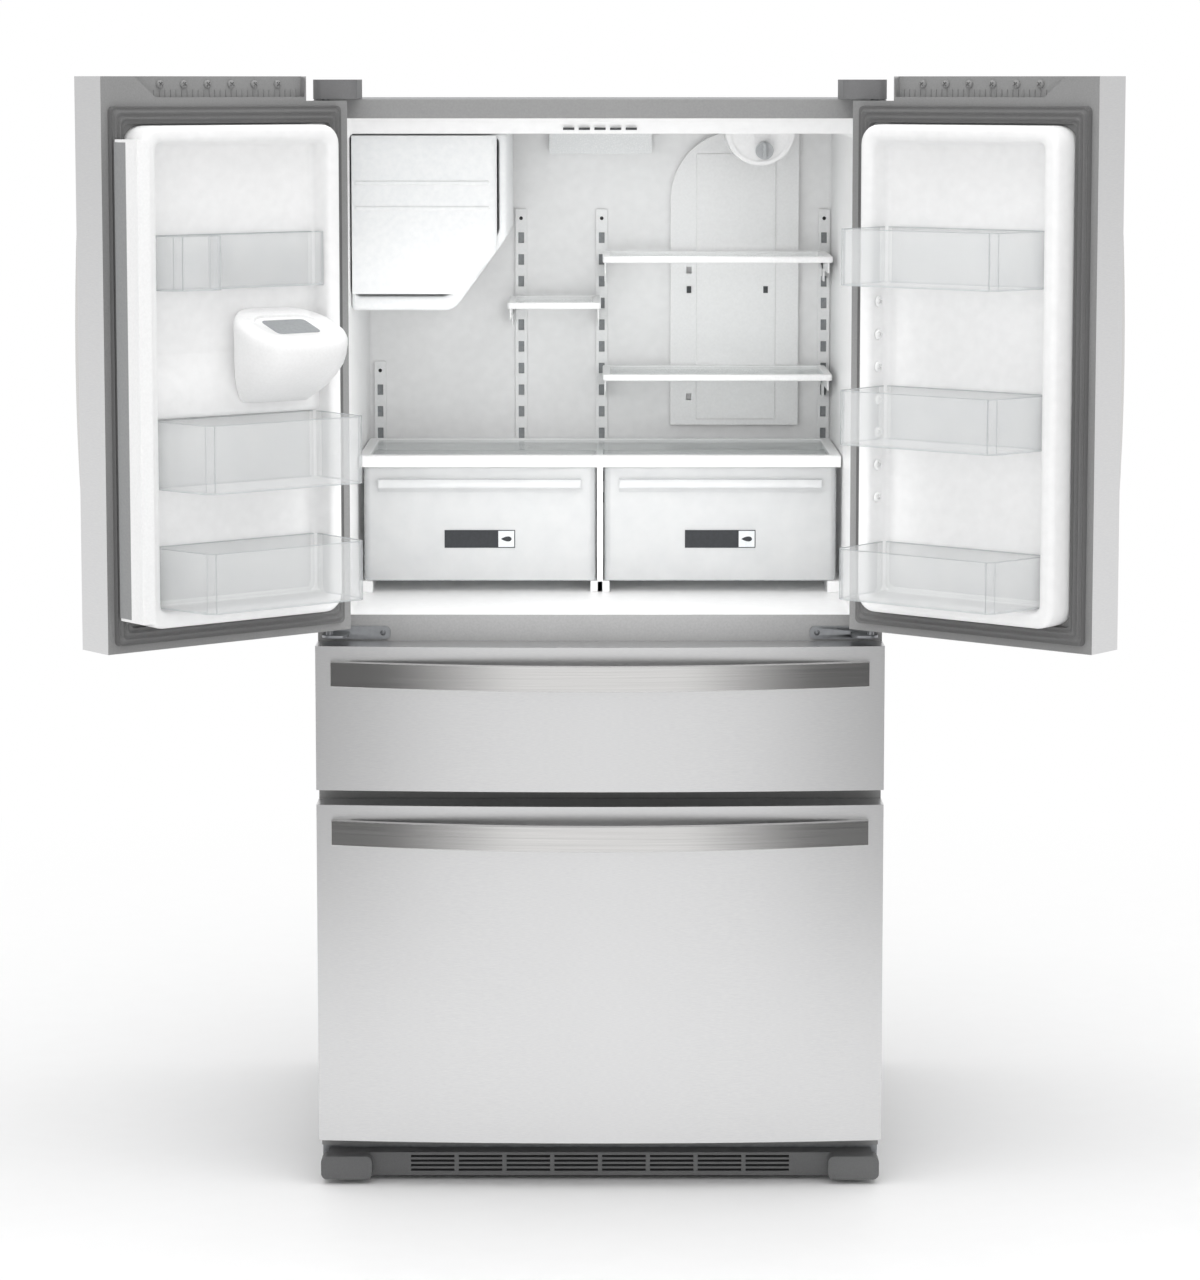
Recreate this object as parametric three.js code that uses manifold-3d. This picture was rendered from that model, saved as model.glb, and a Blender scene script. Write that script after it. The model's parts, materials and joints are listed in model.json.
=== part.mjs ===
// A french door refrigerator: two doors over a pantry drawer and a freezer drawer.
// Millimetres, +Z up, the front faces -Y. It stands on the floor at Z = 0 with both doors open.
//
// Every piece is drawn with the doors shut and the cabinet's front flange at Y = 0. The door groups
// then swing open about their pins, and the whole model moves along Y to centre its footprint.
import * as THREE from 'three';
import { mergeVertices } from 'three/addons/utils/BufferGeometryUtils.js';
import Module from 'manifold-3d';

const wasm = await Module();
wasm.setup();

// ---------------------------------------------------------------- driving sizes

const GAP = 0.4; // between pieces that touch
const SHEET = 1; // steel sheet of the case, doors and drawers
const SEAM = 2; // between the two doors, and round covers

// cabinet
const WIDTH = 905;
const HEIGHT = 1743;
const DEPTH = 749;
const SIDE_WALL = 47.5; // case side to the inside of a liner
const UNDERSIDE = 50; // floor to the bottom of the case
const FLANGE = 3; // front frame thickness
const LINER_WALL = 3;
const BACK_SHEET = 1;

// compartments, from the floor up
const FREEZER_FRONT_BOTTOM = 76;
const FREEZER_FRONT_HEIGHT = 548.5;
const DRAWER_SPACING = 23.5;
const PANTRY_FRONT_HEIGHT = 232;
const DOOR_SPACING = 25;
const OPENING_INSET = 20; // a drawer front overlaps its opening by this much
const DOOR_OVERLAP = 16; // a door overlaps the bottom of its opening
const HEADER = 30;
const DOOR_ABOVE_CASE = 36;
const FRESH_BACK_SPACE = 109; // rear wall of the compartment to the back of the case
const CEILING_STEP = 25; // the ceiling drops this much behind its front lip
const CEILING_LIP = 60; // depth of the lip
const BAY_BACK_SPACE = 149; // rear wall of a drawer bay to the back of the case

// machine compartment at the bottom rear
const MACHINE_DEPTH = 265;
const MACHINE_HEIGHT = 240;
const MACHINE_SPACE = 15; // liner to machine compartment

// fronts
const FRONT_INNER = 12; // flange to the inner face of the doors and drawers
const FRONT_EDGE = 66; // flange to the front at the sides
const FRONT_BULGE = 20; // extra depth at the middle of the front
const CURVE_STEPS = 10;

// door hinges
const PIN_INSET = 21.5; // case side to the pin
const PIN_FORWARD = 40; // flange to the pin
const PIN_RADIUS = 6;
const PIN_ENGAGEMENT = 14; // length of pin inside a door
const OPEN_ANGLE = THREE.MathUtils.degToRad(141);
const COVER_INBOARD = 50; // pin to the inner side of a hinge cover
const COVER_FRONT = 10;
const COVER_BACK = 100;
const COVER_HEIGHT = 31;
const COVER_WALL = 2;
const NOTCH_CLEARANCE = 5;
const ARM_THICKNESS = 4;

// door inner faces
const FRAME_BORDER = 12; // door edge to gasket
const GASKET_WIDTH = 27;
const GASKET_HINGE_BORDER = 17; // keeps a turning door's gasket off the flange
const DYKE_FREE_END = 39; // centre line to the liner's raised rim
const DYKE_SIDE = 5; // liner rim to the compartment wall when shut
const DYKE_WIDTH = 25;
const DYKE_HEIGHT = 57; // above the door's inner face
const DYKE_BOTTOM = 40; // above the bottom of the door
const DYKE_TOP = 74; // below the top of the door
const PANEL_HEIGHT = 20; // floor of the dish above the door's inner face
const DYKE_RADIUS = 30;
const SKIN = 2.5; // formed plastic sheet

// shelf tracks
const TRACK_WIDTH = 20.5;
const TRACK_DEPTH = 6;
const SLOT_WIDTH = 10;
const SLOT_HEIGHT = 18.6;
const SLOT_PITCH = 38.1;
const SLOT_DROP = 189; // ceiling to the centre of the first slot of a full-height track
const TRACK_ABOVE_SLOT = 50;
const TRACK_RISE = 89; // compartment floor to the bottom of a track

// shelves
const SHELF_FRONT = 397;
const SHELF_THICKNESS = 11;
const BRACKET_THICKNESS = 3;
const BRACKET_DROP = 52;
const HOOK_HEIGHT = 13;
const DUCT_DEPTH = 18;

// crispers
const CRISPER_FRONT = 280;
const CRISPER_DEPTH = 310;
const CRISPER_HEIGHT = 191;
const CRISPER_LEDGE = 19; // above the compartment floor
const CRISPER_HEADROOM = 14;
const CRISPER_COVER = 6;
const CRISPER_POST = 10;
const CRISPER_WALL = 2.5;
const CRISPER_CLEARANCE = 2;

// bars on the outside
const HANDLE_WIDTH = 40;
const HANDLE_THICKNESS = 14;
const HANDLE_REACH = 138; // flange to the front of the bar's middle
const HANDLE_MARGIN = 24.5; // bar's end to the end of its front
const HANDLE_FOOT = 30;
const DOOR_HANDLE_INSET = 28; // centre line to the bar
const DRAWER_HANDLE_DROP = 23; // top of a drawer front to the bar

// ---------------------------------------------------------------- sizes that follow

const HALF = WIDTH / 2;
const INNER_HALF = HALF - SIDE_WALL;
const FRESH_DEPTH = DEPTH - FRESH_BACK_SPACE;
const DRAWER_BAY_DEPTH = DEPTH - BAY_BACK_SPACE;
const FREEZER_FRONT_TOP = FREEZER_FRONT_BOTTOM + FREEZER_FRONT_HEIGHT;
const PANTRY_FRONT_BOTTOM = FREEZER_FRONT_TOP + DRAWER_SPACING;
const PANTRY_FRONT_TOP = PANTRY_FRONT_BOTTOM + PANTRY_FRONT_HEIGHT;
const DOOR_BOTTOM = PANTRY_FRONT_TOP + DOOR_SPACING;
const DOOR_TOP = HEIGHT + DOOR_ABOVE_CASE;
const FREEZER_FLOOR = FREEZER_FRONT_BOTTOM + OPENING_INSET;
const FREEZER_CEILING = FREEZER_FRONT_TOP - OPENING_INSET;
const PANTRY_FLOOR = PANTRY_FRONT_BOTTOM + OPENING_INSET;
const PANTRY_CEILING = PANTRY_FRONT_TOP - OPENING_INSET;
const FRESH_FLOOR = DOOR_BOTTOM + DOOR_OVERLAP;
const FRESH_MOUTH = HEIGHT - HEADER;
const FRESH_CEILING = FRESH_MOUTH - CEILING_STEP;
const SLOT_TOP = FRESH_CEILING - SLOT_DROP;
const TRACK_BOTTOM = FRESH_FLOOR + TRACK_RISE;
const LINER_FRONT = FLANGE + GAP;
const PIN_X = HALF - PIN_INSET;
const COVER_REACH = Math.hypot(COVER_INBOARD, COVER_FRONT);
const NOTCH_X = PIN_X - COVER_REACH - NOTCH_CLEARANCE; // doors are lower outboard of this
const NOTCH_Z = HEIGHT - SEAM;
const MACHINE_FRONT = DEPTH - MACHINE_DEPTH;
const MACHINE_TOP = UNDERSIDE + MACHINE_HEIGHT;
const DYKE_HINGE_END = INNER_HALF - DYKE_SIDE;
const DYKE_Z0 = DOOR_BOTTOM + DYKE_BOTTOM;
const DYKE_Z1 = DOOR_TOP - DYKE_TOP;
const SHELF_BACK = FRESH_DEPTH - DUCT_DEPTH - SEAM;

// ---------------------------------------------------------------- materials

function paint(color, roughness, metalness = 0) {
  return new THREE.MeshStandardMaterial({ color, roughness, metalness, flatShading: true });
}

const stainless = paint(0xd2d2d2, 0.35, 1);
const darkSteel = paint(0x8a8a8c, 0.45, 1);
const grayPaint = paint(0x838383, 0.5, 0.3);
const whitePlastic = paint(0xf2f3f3, 0.4);
const clearPlastic = paint(0xe4ebee, 0.15);
const grayPlastic = paint(0x737373, 0.55);
const gasketRubber = paint(0x6f6f6f, 0.7);
const blackPaint = paint(0x1d1d1f, 0.5);
const glass = paint(0xdfeaea, 0.05);

// ---------------------------------------------------------------- shape tools

function solid(geometry) {
  const bare = geometry.clone();
  bare.deleteAttribute('normal');
  bare.deleteAttribute('uv');
  const merged = mergeVertices(bare, 1e-4);
  return new wasm.Manifold(new wasm.Mesh({
    numProp: 3,
    vertProperties: Float32Array.from(merged.attributes.position.array),
    triVerts: Uint32Array.from(merged.index.array),
  }));
}

function geometryOf(body) {
  const mesh = body.getMesh();
  const geometry = new THREE.BufferGeometry();
  geometry.setAttribute('position', new THREE.BufferAttribute(mesh.vertProperties, 3));
  geometry.setIndex(new THREE.BufferAttribute(mesh.triVerts, 1));
  geometry.computeVertexNormals();
  return geometry;
}

function block([x0, x1], [y0, y1], [z0, z1]) {
  const [left, right] = x0 < x1 ? [x0, x1] : [x1, x0];
  const box = new THREE.BoxGeometry(right - left, y1 - y0, z1 - z0);
  box.translate((left + right) / 2, (y0 + y1) / 2, (z0 + z1) / 2);
  return solid(box);
}

function extrude(shape, depth, segments) {
  return new THREE.ExtrudeGeometry(shape, { depth, bevelEnabled: false, curveSegments: segments });
}

// A plan outline (x, y) raised from z0 to z1.
function upright(shape, z0, z1, segments = 6) {
  return solid(extrude(shape, z1 - z0, segments).translate(0, 0, z0));
}

// A front outline (x, z) pushed back from y0 to y1.
function pushed(shape, y0, y1, segments = 6) {
  return solid(extrude(shape, y1 - y0, segments).rotateX(Math.PI / 2).translate(0, y1, 0));
}

// A side outline (y, z) drawn from x0 to x1.
function sideways(shape, x0, x1, segments = 6) {
  const turned = extrude(shape, x1 - x0, segments).rotateY(Math.PI / 2).rotateX(Math.PI / 2);
  return solid(turned.translate(x0, 0, 0));
}

function outline(points) {
  return new THREE.Shape(points.map(([a, b]) => new THREE.Vector2(a, b)));
}

function roundedOutline([a0, a1], [b0, b1], radius) {
  const [low, high] = a0 < a1 ? [a0, a1] : [a1, a0];
  const r = Math.min(radius, (high - low) / 2 - 0.01, (b1 - b0) / 2 - 0.01);
  const shape = new THREE.Shape();
  shape.moveTo(low + r, b0);
  shape.lineTo(high - r, b0);
  shape.absarc(high - r, b0 + r, r, -Math.PI / 2, 0);
  shape.lineTo(high, b1 - r);
  shape.absarc(high - r, b1 - r, r, 0, Math.PI / 2);
  shape.lineTo(low + r, b1);
  shape.absarc(low + r, b1 - r, r, Math.PI / 2, Math.PI);
  shape.lineTo(low, b0 + r);
  shape.absarc(low + r, b0 + r, r, Math.PI, Math.PI * 1.5);
  return shape;
}

function cylinder(radius, length, segments = 20) {
  return new THREE.CylinderGeometry(radius, radius, length, segments);
}

function cylinderX(radius, [x0, x1], y, z, segments = 20) {
  const [left, right] = x0 < x1 ? [x0, x1] : [x1, x0];
  const tube = cylinder(radius, right - left, segments).rotateZ(Math.PI / 2);
  return solid(tube.translate((left + right) / 2, y, z));
}

function cylinderY(radius, [y0, y1], x, z, segments = 20) {
  return solid(cylinder(radius, y1 - y0, segments).translate(x, (y0 + y1) / 2, z));
}

function cylinderZ(radius, [z0, z1], x, y, segments = 20) {
  const post = cylinder(radius, z1 - z0, segments).rotateX(Math.PI / 2);
  return solid(post.translate(x, y, (z0 + z1) / 2));
}

function join(first, ...others) {
  return others.reduce((sum, other) => sum.add(other), first);
}

function cut(first, ...others) {
  return others.reduce((rest, other) => rest.subtract(other), first);
}

function piece(name, body, material) {
  const mesh = new THREE.Mesh(geometryOf(body), material);
  mesh.name = name;
  return mesh;
}

// ---------------------------------------------------------------- cabinet case

function outerShell() {
  const inner = HALF - SHEET;
  const top = HEIGHT - SHEET;
  const bottom = UNDERSIDE + GAP;
  const arch = outline([
    [-HALF, bottom], [-inner, bottom], [-inner, top], [inner, top],
    [inner, bottom], [HALF, bottom], [HALF, HEIGHT], [-HALF, HEIGHT],
  ]);
  return pushed(arch, FLANGE + GAP, DEPTH - BACK_SHEET - GAP);
}

function backPanel() {
  return block([-HALF, HALF], [DEPTH - BACK_SHEET, DEPTH], [MACHINE_TOP + SEAM, HEIGHT]);
}

// The painted steel frame round the three openings, which the gaskets close on.
function frontFrame() {
  const shape = roundedOutline([-HALF, HALF], [UNDERSIDE, HEIGHT], 2);
  const openings = [
    [FREEZER_FLOOR, FREEZER_CEILING],
    [PANTRY_FLOOR, PANTRY_CEILING],
    [FRESH_FLOOR, FRESH_MOUTH],
  ];
  for (const [z0, z1] of openings) {
    shape.holes.push(roundedOutline([-INNER_HALF, INNER_HALF], [z0, z1], 3));
  }
  return pushed(shape, 0, FLANGE, 2);
}

function freshFoodLiner() {
  const wall = LINER_WALL;
  const hollow = outline([
    [0, FRESH_FLOOR], [FRESH_DEPTH, FRESH_FLOOR], [FRESH_DEPTH, FRESH_CEILING],
    [CEILING_LIP, FRESH_CEILING], [CEILING_LIP, FRESH_MOUTH], [0, FRESH_MOUTH],
  ]);
  const outside = block(
    [-INNER_HALF - wall, INNER_HALF + wall],
    [LINER_FRONT, FRESH_DEPTH + wall],
    [FRESH_FLOOR - wall, FRESH_MOUTH + wall],
  );
  let body = cut(outside, sideways(hollow, -INNER_HALF, INNER_HALF));
  const ledgeTop = FRESH_FLOOR + CRISPER_LEDGE;
  for (const side of [-1, 1]) {
    const ledge = block(
      [side * (INNER_HALF - 25), side * (INNER_HALF + 1)],
      [CRISPER_FRONT - 8, CRISPER_FRONT + CRISPER_DEPTH],
      [FRESH_FLOOR - 1, ledgeTop],
    );
    body = join(body, ledge);
  }
  return body;
}

// A drawer bay with a guide rail on each side wall for the drawer's slide arms.
function drawerBay(profile, z0, z1, rail) {
  const wall = LINER_WALL;
  const outer = sideways(profile(wall), -INNER_HALF - wall, INNER_HALF + wall);
  let body = cut(outer, sideways(profile(0), -INNER_HALF, INNER_HALF));
  for (const side of [-1, 1]) {
    const guide = block(
      [side * (INNER_HALF - rail.width), side * (INNER_HALF + 1)],
      [rail.front, rail.back],
      [rail.z - rail.height / 2, rail.z + rail.height / 2],
    );
    body = join(body, guide);
  }
  return body;
}

const RAIL = { width: 12, height: 20, front: 10 };
const SLIDE_ARM = { thickness: 6, height: 30 };
const PANTRY_RAIL_Z = PANTRY_CEILING - 45;
const FREEZER_RAIL_Z = FREEZER_CEILING - 95;
const ARM_END = DRAWER_BAY_DEPTH - 40;

function pantryLiner() {
  const profile = (wall) => outline([
    [wall ? LINER_FRONT : 0, PANTRY_FLOOR - wall],
    [DRAWER_BAY_DEPTH + wall, PANTRY_FLOOR - wall],
    [DRAWER_BAY_DEPTH + wall, PANTRY_CEILING + wall],
    [wall ? LINER_FRONT : 0, PANTRY_CEILING + wall],
  ]);
  const rail = { ...RAIL, back: DRAWER_BAY_DEPTH - 10, z: PANTRY_RAIL_Z };
  return drawerBay(profile, PANTRY_FLOOR, PANTRY_CEILING, rail);
}

// The freezer bay is shallower at the bottom, in front of the machine compartment.
function freezerLiner() {
  const stepY = MACHINE_FRONT - MACHINE_SPACE - LINER_WALL;
  const stepZ = MACHINE_TOP + MACHINE_SPACE + LINER_WALL;
  const profile = (wall) => outline([
    [wall ? LINER_FRONT : 0, FREEZER_FLOOR - wall],
    [stepY + wall, FREEZER_FLOOR - wall],
    [stepY + wall, stepZ - wall],
    [DRAWER_BAY_DEPTH + wall, stepZ - wall],
    [DRAWER_BAY_DEPTH + wall, FREEZER_CEILING + wall],
    [wall ? LINER_FRONT : 0, FREEZER_CEILING + wall],
  ]);
  const rail = { ...RAIL, back: DRAWER_BAY_DEPTH - 10, z: FREEZER_RAIL_Z };
  return drawerBay(profile, FREEZER_FLOOR, FREEZER_CEILING, rail);
}

// ---------------------------------------------------------------- base and machine compartment

const ROLLER = { radius: 24, width: 18, x: HALF - 52.5, bore: 5.5, axle: 5, cheek: 3 };
const ROLLER_Y = DEPTH - 60;
const LEG = { x: HALF - 37.5, y: 40, radius: 20, shaft: 5 };
const PAN_FRONT_DROP = 38;

// Steel floor of the case, with the front skirt and the roller forks with their axles.
function basePan() {
  const inner = HALF - SHEET - GAP;
  const top = UNDERSIDE + 2 + GAP;
  const back = DEPTH - BACK_SHEET - GAP;
  let body = join(
    block([-inner, inner], [LINER_FRONT, back], [UNDERSIDE + GAP, top]),
    block([-inner, inner], [LINER_FRONT, LINER_FRONT + 2], [UNDERSIDE - PAN_FRONT_DROP, top]),
  );
  for (const side of [-1, 1]) {
    const wheel = side * ROLLER.x;
    body = cut(body, cylinderZ(LEG.shaft + 1, [UNDERSIDE - 5, top + 5], side * LEG.x, LEG.y, 12));
    const slot = ROLLER.width / 2 + 1.5;
    const well = block(
      [wheel - slot, wheel + slot],
      [ROLLER_Y - ROLLER.radius - 3, ROLLER_Y + ROLLER.radius + 3],
      [UNDERSIDE - 5, top + 5],
    );
    body = cut(body, well);
    for (const edge of [-1, 1]) {
      const inside = wheel + edge * slot;
      const cheek = block(
        [inside, inside + edge * ROLLER.cheek],
        [ROLLER_Y - 16, ROLLER_Y + 16],
        [ROLLER.radius - 10, top],
      );
      body = join(body, cheek);
    }
    const end = slot + ROLLER.cheek;
    body = join(body, cylinderX(ROLLER.axle, [wheel - end, wheel + end], ROLLER_Y, ROLLER.radius));
  }
  return body;
}

function roller(side) {
  const x = side * ROLLER.x;
  const span = [x - ROLLER.width / 2, x + ROLLER.width / 2];
  const bore = cylinderX(ROLLER.bore, [span[0] - 1, span[1] + 1], ROLLER_Y, ROLLER.radius);
  return cut(cylinderX(ROLLER.radius, span, ROLLER_Y, ROLLER.radius, 32), bore);
}

function levelLeg(side) {
  const collar = UNDERSIDE - GAP;
  const profile = [
    [0, 0], [LEG.radius, 0], [LEG.radius, 5], [LEG.shaft + 4, 8], [LEG.shaft + 4, 14],
    [LEG.shaft, 14], [LEG.shaft, collar - 6], [LEG.shaft + 5, collar - 6],
    [LEG.shaft + 5, collar], [LEG.shaft, collar], [LEG.shaft, UNDERSIDE + 20],
    [0, UNDERSIDE + 20],
  ];
  const points = profile.map(([r, z]) => new THREE.Vector2(r, z));
  const turned = new THREE.LatheGeometry(points, 20).rotateX(Math.PI / 2);
  return solid(turned.translate(side * LEG.x, LEG.y, 0));
}

// Kick plate with rows of air slots, and a rounded cover over each front leg.
function baseGrille() {
  const plate = { x: HALF - 4, z0: 8, z1: 46, y0: -30, y1: -26 };
  const shape = roundedOutline([-plate.x, plate.x], [plate.z0, plate.z1], 6);
  const slots = { from: 142.5 - HALF, columns: 8, rows: 4, z: 15, height: 4, pitch: 7.5, rib: 7 };
  const pitchX = (-2 * slots.from) / slots.columns;
  let body = pushed(shape, plate.y0, plate.y1, 2);
  for (let column = 0; column < slots.columns; column += 1) {
    for (let row = 0; row < slots.rows; row += 1) {
      const x0 = slots.from + column * pitchX + slots.rib / 2;
      const z0 = slots.z + row * slots.pitch;
      const x1 = x0 + pitchX - slots.rib;
      body = cut(body, block([x0, x1], [plate.y0 - 1, plate.y1 + 1], [z0, z0 + slots.height]));
    }
  }
  const lip = block([-plate.x + 8, plate.x - 8], [plate.y1 - 1, -GAP], [plate.z1 - 3, plate.z1]);
  body = join(body, lip);
  for (const side of [-1, 1]) {
    const cover = roundedOutline([side * (HALF - 2), side * (HALF - 84)], [8, 46], 10);
    body = join(body, pushed(cover, plate.y0 - 26, plate.y0 + 1, 3));
  }
  return body;
}

function machineCover() {
  const shape = roundedOutline([-HALF + 2, HALF - 2], [UNDERSIDE + SEAM, MACHINE_TOP], 6);
  const louvre = { width: 120, height: 5, pitch: 16, rows: 9, columns: 4, gap: 60 };
  const span = louvre.columns * louvre.width + (louvre.columns - 1) * louvre.gap;
  let body = pushed(shape, DEPTH - BACK_SHEET, DEPTH, 2);
  for (let column = 0; column < louvre.columns; column += 1) {
    for (let row = 0; row < louvre.rows; row += 1) {
      const x0 = -span / 2 + column * (louvre.width + louvre.gap);
      const z0 = UNDERSIDE + 50 + row * louvre.pitch;
      const through = [DEPTH - BACK_SHEET - 1, DEPTH + 1];
      body = cut(body, block([x0, x0 + louvre.width], through, [z0, z0 + louvre.height]));
    }
  }
  return body;
}

function compressor() {
  const centre = { x: -210, y: MACHINE_FRONT + MACHINE_DEPTH / 2 };
  const floor = UNDERSIDE + 2 + 2 * GAP;
  const can = [
    [0, 12], [60, 12], [74, 24], [78, 50], [78, 110], [72, 140], [52, 162], [0, 170],
  ];
  const points = can.map(([r, z]) => new THREE.Vector2(r, z));
  const dome = new THREE.LatheGeometry(points, 18).rotateX(Math.PI / 2);
  let body = solid(dome.translate(centre.x, centre.y, floor));
  body = join(body, block(
    [centre.x - 105, centre.x + 105],
    [centre.y - 60, centre.y + 60],
    [floor + 9, floor + 13],
  ));
  for (const dx of [-92, 92]) {
    for (const dy of [-46, 46]) {
      const grommet = [floor, floor + 20];
      body = join(body, cylinderZ(9, grommet, centre.x + dx, centre.y + dy, 14));
    }
  }
  return body;
}

// ---------------------------------------------------------------- hinges

const COVER_OUTBOARD = PIN_INSET - SEAM;

function hingeCover(side) {
  const footprint = (inset) => roundedOutline(
    [side * (PIN_X + COVER_OUTBOARD - inset), side * (PIN_X - COVER_INBOARD + inset)],
    [-PIN_FORWARD - COVER_FRONT + inset, COVER_BACK - inset],
    14 - inset,
  );
  const top = HEIGHT + COVER_HEIGHT;
  const outside = upright(footprint(0), HEIGHT + GAP, top, 4);
  return cut(outside, upright(footprint(COVER_WALL), HEIGHT - 1, top - COVER_WALL, 4));
}

// Steel arm screwed to the top of the case, with the pin that hangs into the door.
function upperHinge(side) {
  const inset = COVER_WALL + GAP;
  const arm = roundedOutline(
    [side * (PIN_X + COVER_OUTBOARD - inset), side * (PIN_X - COVER_INBOARD + inset)],
    [-PIN_FORWARD - COVER_FRONT + inset, COVER_BACK - inset],
    12,
  );
  const under = HEIGHT + GAP;
  const pin = [NOTCH_Z - PIN_ENGAGEMENT, under + 1];
  return join(
    upright(arm, under, under + ARM_THICKNESS, 4),
    cylinderZ(PIN_RADIUS, pin, side * PIN_X, -PIN_FORWARD),
  );
}

const LOWER_ARM_Z = (PANTRY_FRONT_TOP + DOOR_BOTTOM) / 2;

// Bracket on the crossbar between the doors and the pantry drawer, with the pin that carries a door.
function lowerHinge(side) {
  const plate = roundedOutline(
    [side * (PIN_X + 12), side * (PIN_X - 95)],
    [PANTRY_FRONT_TOP + SEAM, DOOR_BOTTOM - SEAM],
    9,
  );
  const arm = roundedOutline(
    [side * (PIN_X + 12), side * (PIN_X - 30)],
    [-PIN_FORWARD - 12, -GAP],
    12,
  );
  const armZ = [LOWER_ARM_Z - ARM_THICKNESS / 2, LOWER_ARM_Z + ARM_THICKNESS / 2];
  return join(
    pushed(plate, -GAP - 3, -GAP, 4),
    upright(arm, armZ[0], armZ[1], 4),
    cylinderZ(PIN_RADIUS, [armZ[0], DOOR_BOTTOM + PIN_ENGAGEMENT], side * PIN_X, -PIN_FORWARD),
  );
}

// ---------------------------------------------------------------- inside the fresh-food compartment

const TRACKS = [
  { name: 'shelf_track_far_left', x: 19 - INNER_HALF, skip: 7 },
  { name: 'shelf_track_left', x: -138, skip: 0 },
  { name: 'shelf_track_middle', x: 3, skip: 0 },
  { name: 'shelf_track_right', x: INNER_HALF - 13, skip: 0 },
];

// A wall track, its slots at a fixed pitch. A short track leaves out its first slots.
function shelfTrack({ x, skip }) {
  const top = SLOT_TOP + TRACK_ABOVE_SLOT - skip * SLOT_PITCH;
  const shape = roundedOutline([x - TRACK_WIDTH / 2, x + TRACK_WIDTH / 2], [TRACK_BOTTOM, top], 2);
  const first = SLOT_TOP - skip * SLOT_PITCH;
  let body = pushed(shape, FRESH_DEPTH - TRACK_DEPTH - GAP, FRESH_DEPTH - GAP, 1);
  for (let z = first; z > TRACK_BOTTOM + SLOT_HEIGHT; z -= SLOT_PITCH) {
    const slot = [z - SLOT_HEIGHT / 2, z + SLOT_HEIGHT / 2];
    const through = [FRESH_DEPTH - TRACK_DEPTH - 1, FRESH_DEPTH];
    body = cut(body, block([x - SLOT_WIDTH / 2, x + SLOT_WIDTH / 2], through, slot));
  }
  return body;
}

// Each shelf hooks a bracket into one slot of two tracks. Its top is this much above the slot.
const SHELVES = [
  { name: 'upper_shelf', tracks: [2, 3], slot: 1, rise: 16, left: 5, right: INNER_HALF - 11 },
  { name: 'lower_shelf', tracks: [2, 3], slot: 6, rise: 4.6, left: 5, right: INNER_HALF - 11 },
  { name: 'half_shelf', tracks: [1, 2], slot: 3, rise: 14.3, left: -157, right: 1 },
];

function shelfTop({ slot, rise }) {
  return SLOT_TOP - slot * SLOT_PITCH + rise;
}

function shelf(spec) {
  const top = shelfTop(spec);
  const rearFace = FRESH_DEPTH - TRACK_DEPTH - GAP - GAP;
  let body = block([spec.left, spec.right], [SHELF_FRONT, SHELF_BACK], [top - SHELF_THICKNESS, top]);
  const side = outline([
    [SHELF_FRONT + 40, top - SHELF_THICKNESS - 3],
    [SHELF_BACK - 90, top - SHELF_THICKNESS - 8],
    [SHELF_BACK - 40, top - BRACKET_DROP],
    [rearFace, top - BRACKET_DROP],
    [rearFace, top],
    [SHELF_FRONT + 40, top],
  ]);
  const hookZ = SLOT_TOP - spec.slot * SLOT_PITCH;
  spec.tracks.forEach((track, index) => {
    const edge = TRACKS[track].x + (index === 0 ? SLOT_WIDTH / 2 : -SLOT_WIDTH / 2);
    const outward = index === 0 ? -1 : 1;
    const start = edge + outward * 0.5;
    const span = [start, start + outward * BRACKET_THICKNESS];
    const [x0, x1] = span[0] < span[1] ? span : [span[1], span[0]];
    const hook = block(
      [x0, x1],
      [rearFace - 1, rearFace + GAP + TRACK_DEPTH - 1],
      [hookZ - HOOK_HEIGHT / 2, hookZ + HOOK_HEIGHT / 2],
    );
    body = join(body, sideways(side, x0, x1), hook);
  });
  return body;
}

const CRISPER_BOTTOM = FRESH_FLOOR + CRISPER_LEDGE + GAP;
const CRISPER_TOP = CRISPER_BOTTOM + CRISPER_HEIGHT;
const COVER_TOP = CRISPER_TOP + CRISPER_HEADROOM + CRISPER_COVER;

// The shelf over the crispers, with its front trim and the post that stands between them.
function crisperCover() {
  const half = INNER_HALF - 3;
  const back = CRISPER_FRONT + CRISPER_DEPTH;
  const under = COVER_TOP - CRISPER_COVER;
  return join(
    block([-half, half], [CRISPER_FRONT - 8, back], [under, COVER_TOP]),
    block([-half, half], [CRISPER_FRONT - 8, CRISPER_FRONT - 2], [COVER_TOP - 16, COVER_TOP]),
    block(
      [-CRISPER_POST / 2, CRISPER_POST / 2],
      [CRISPER_FRONT - 4, back],
      [FRESH_FLOOR + GAP, under + 1],
    ),
    block(
      [-CRISPER_POST / 2 - 11, CRISPER_POST / 2 + 11],
      [CRISPER_FRONT - 4, back],
      [FRESH_FLOOR + GAP, FRESH_FLOOR + CRISPER_LEDGE],
    ),
  );
}

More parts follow.
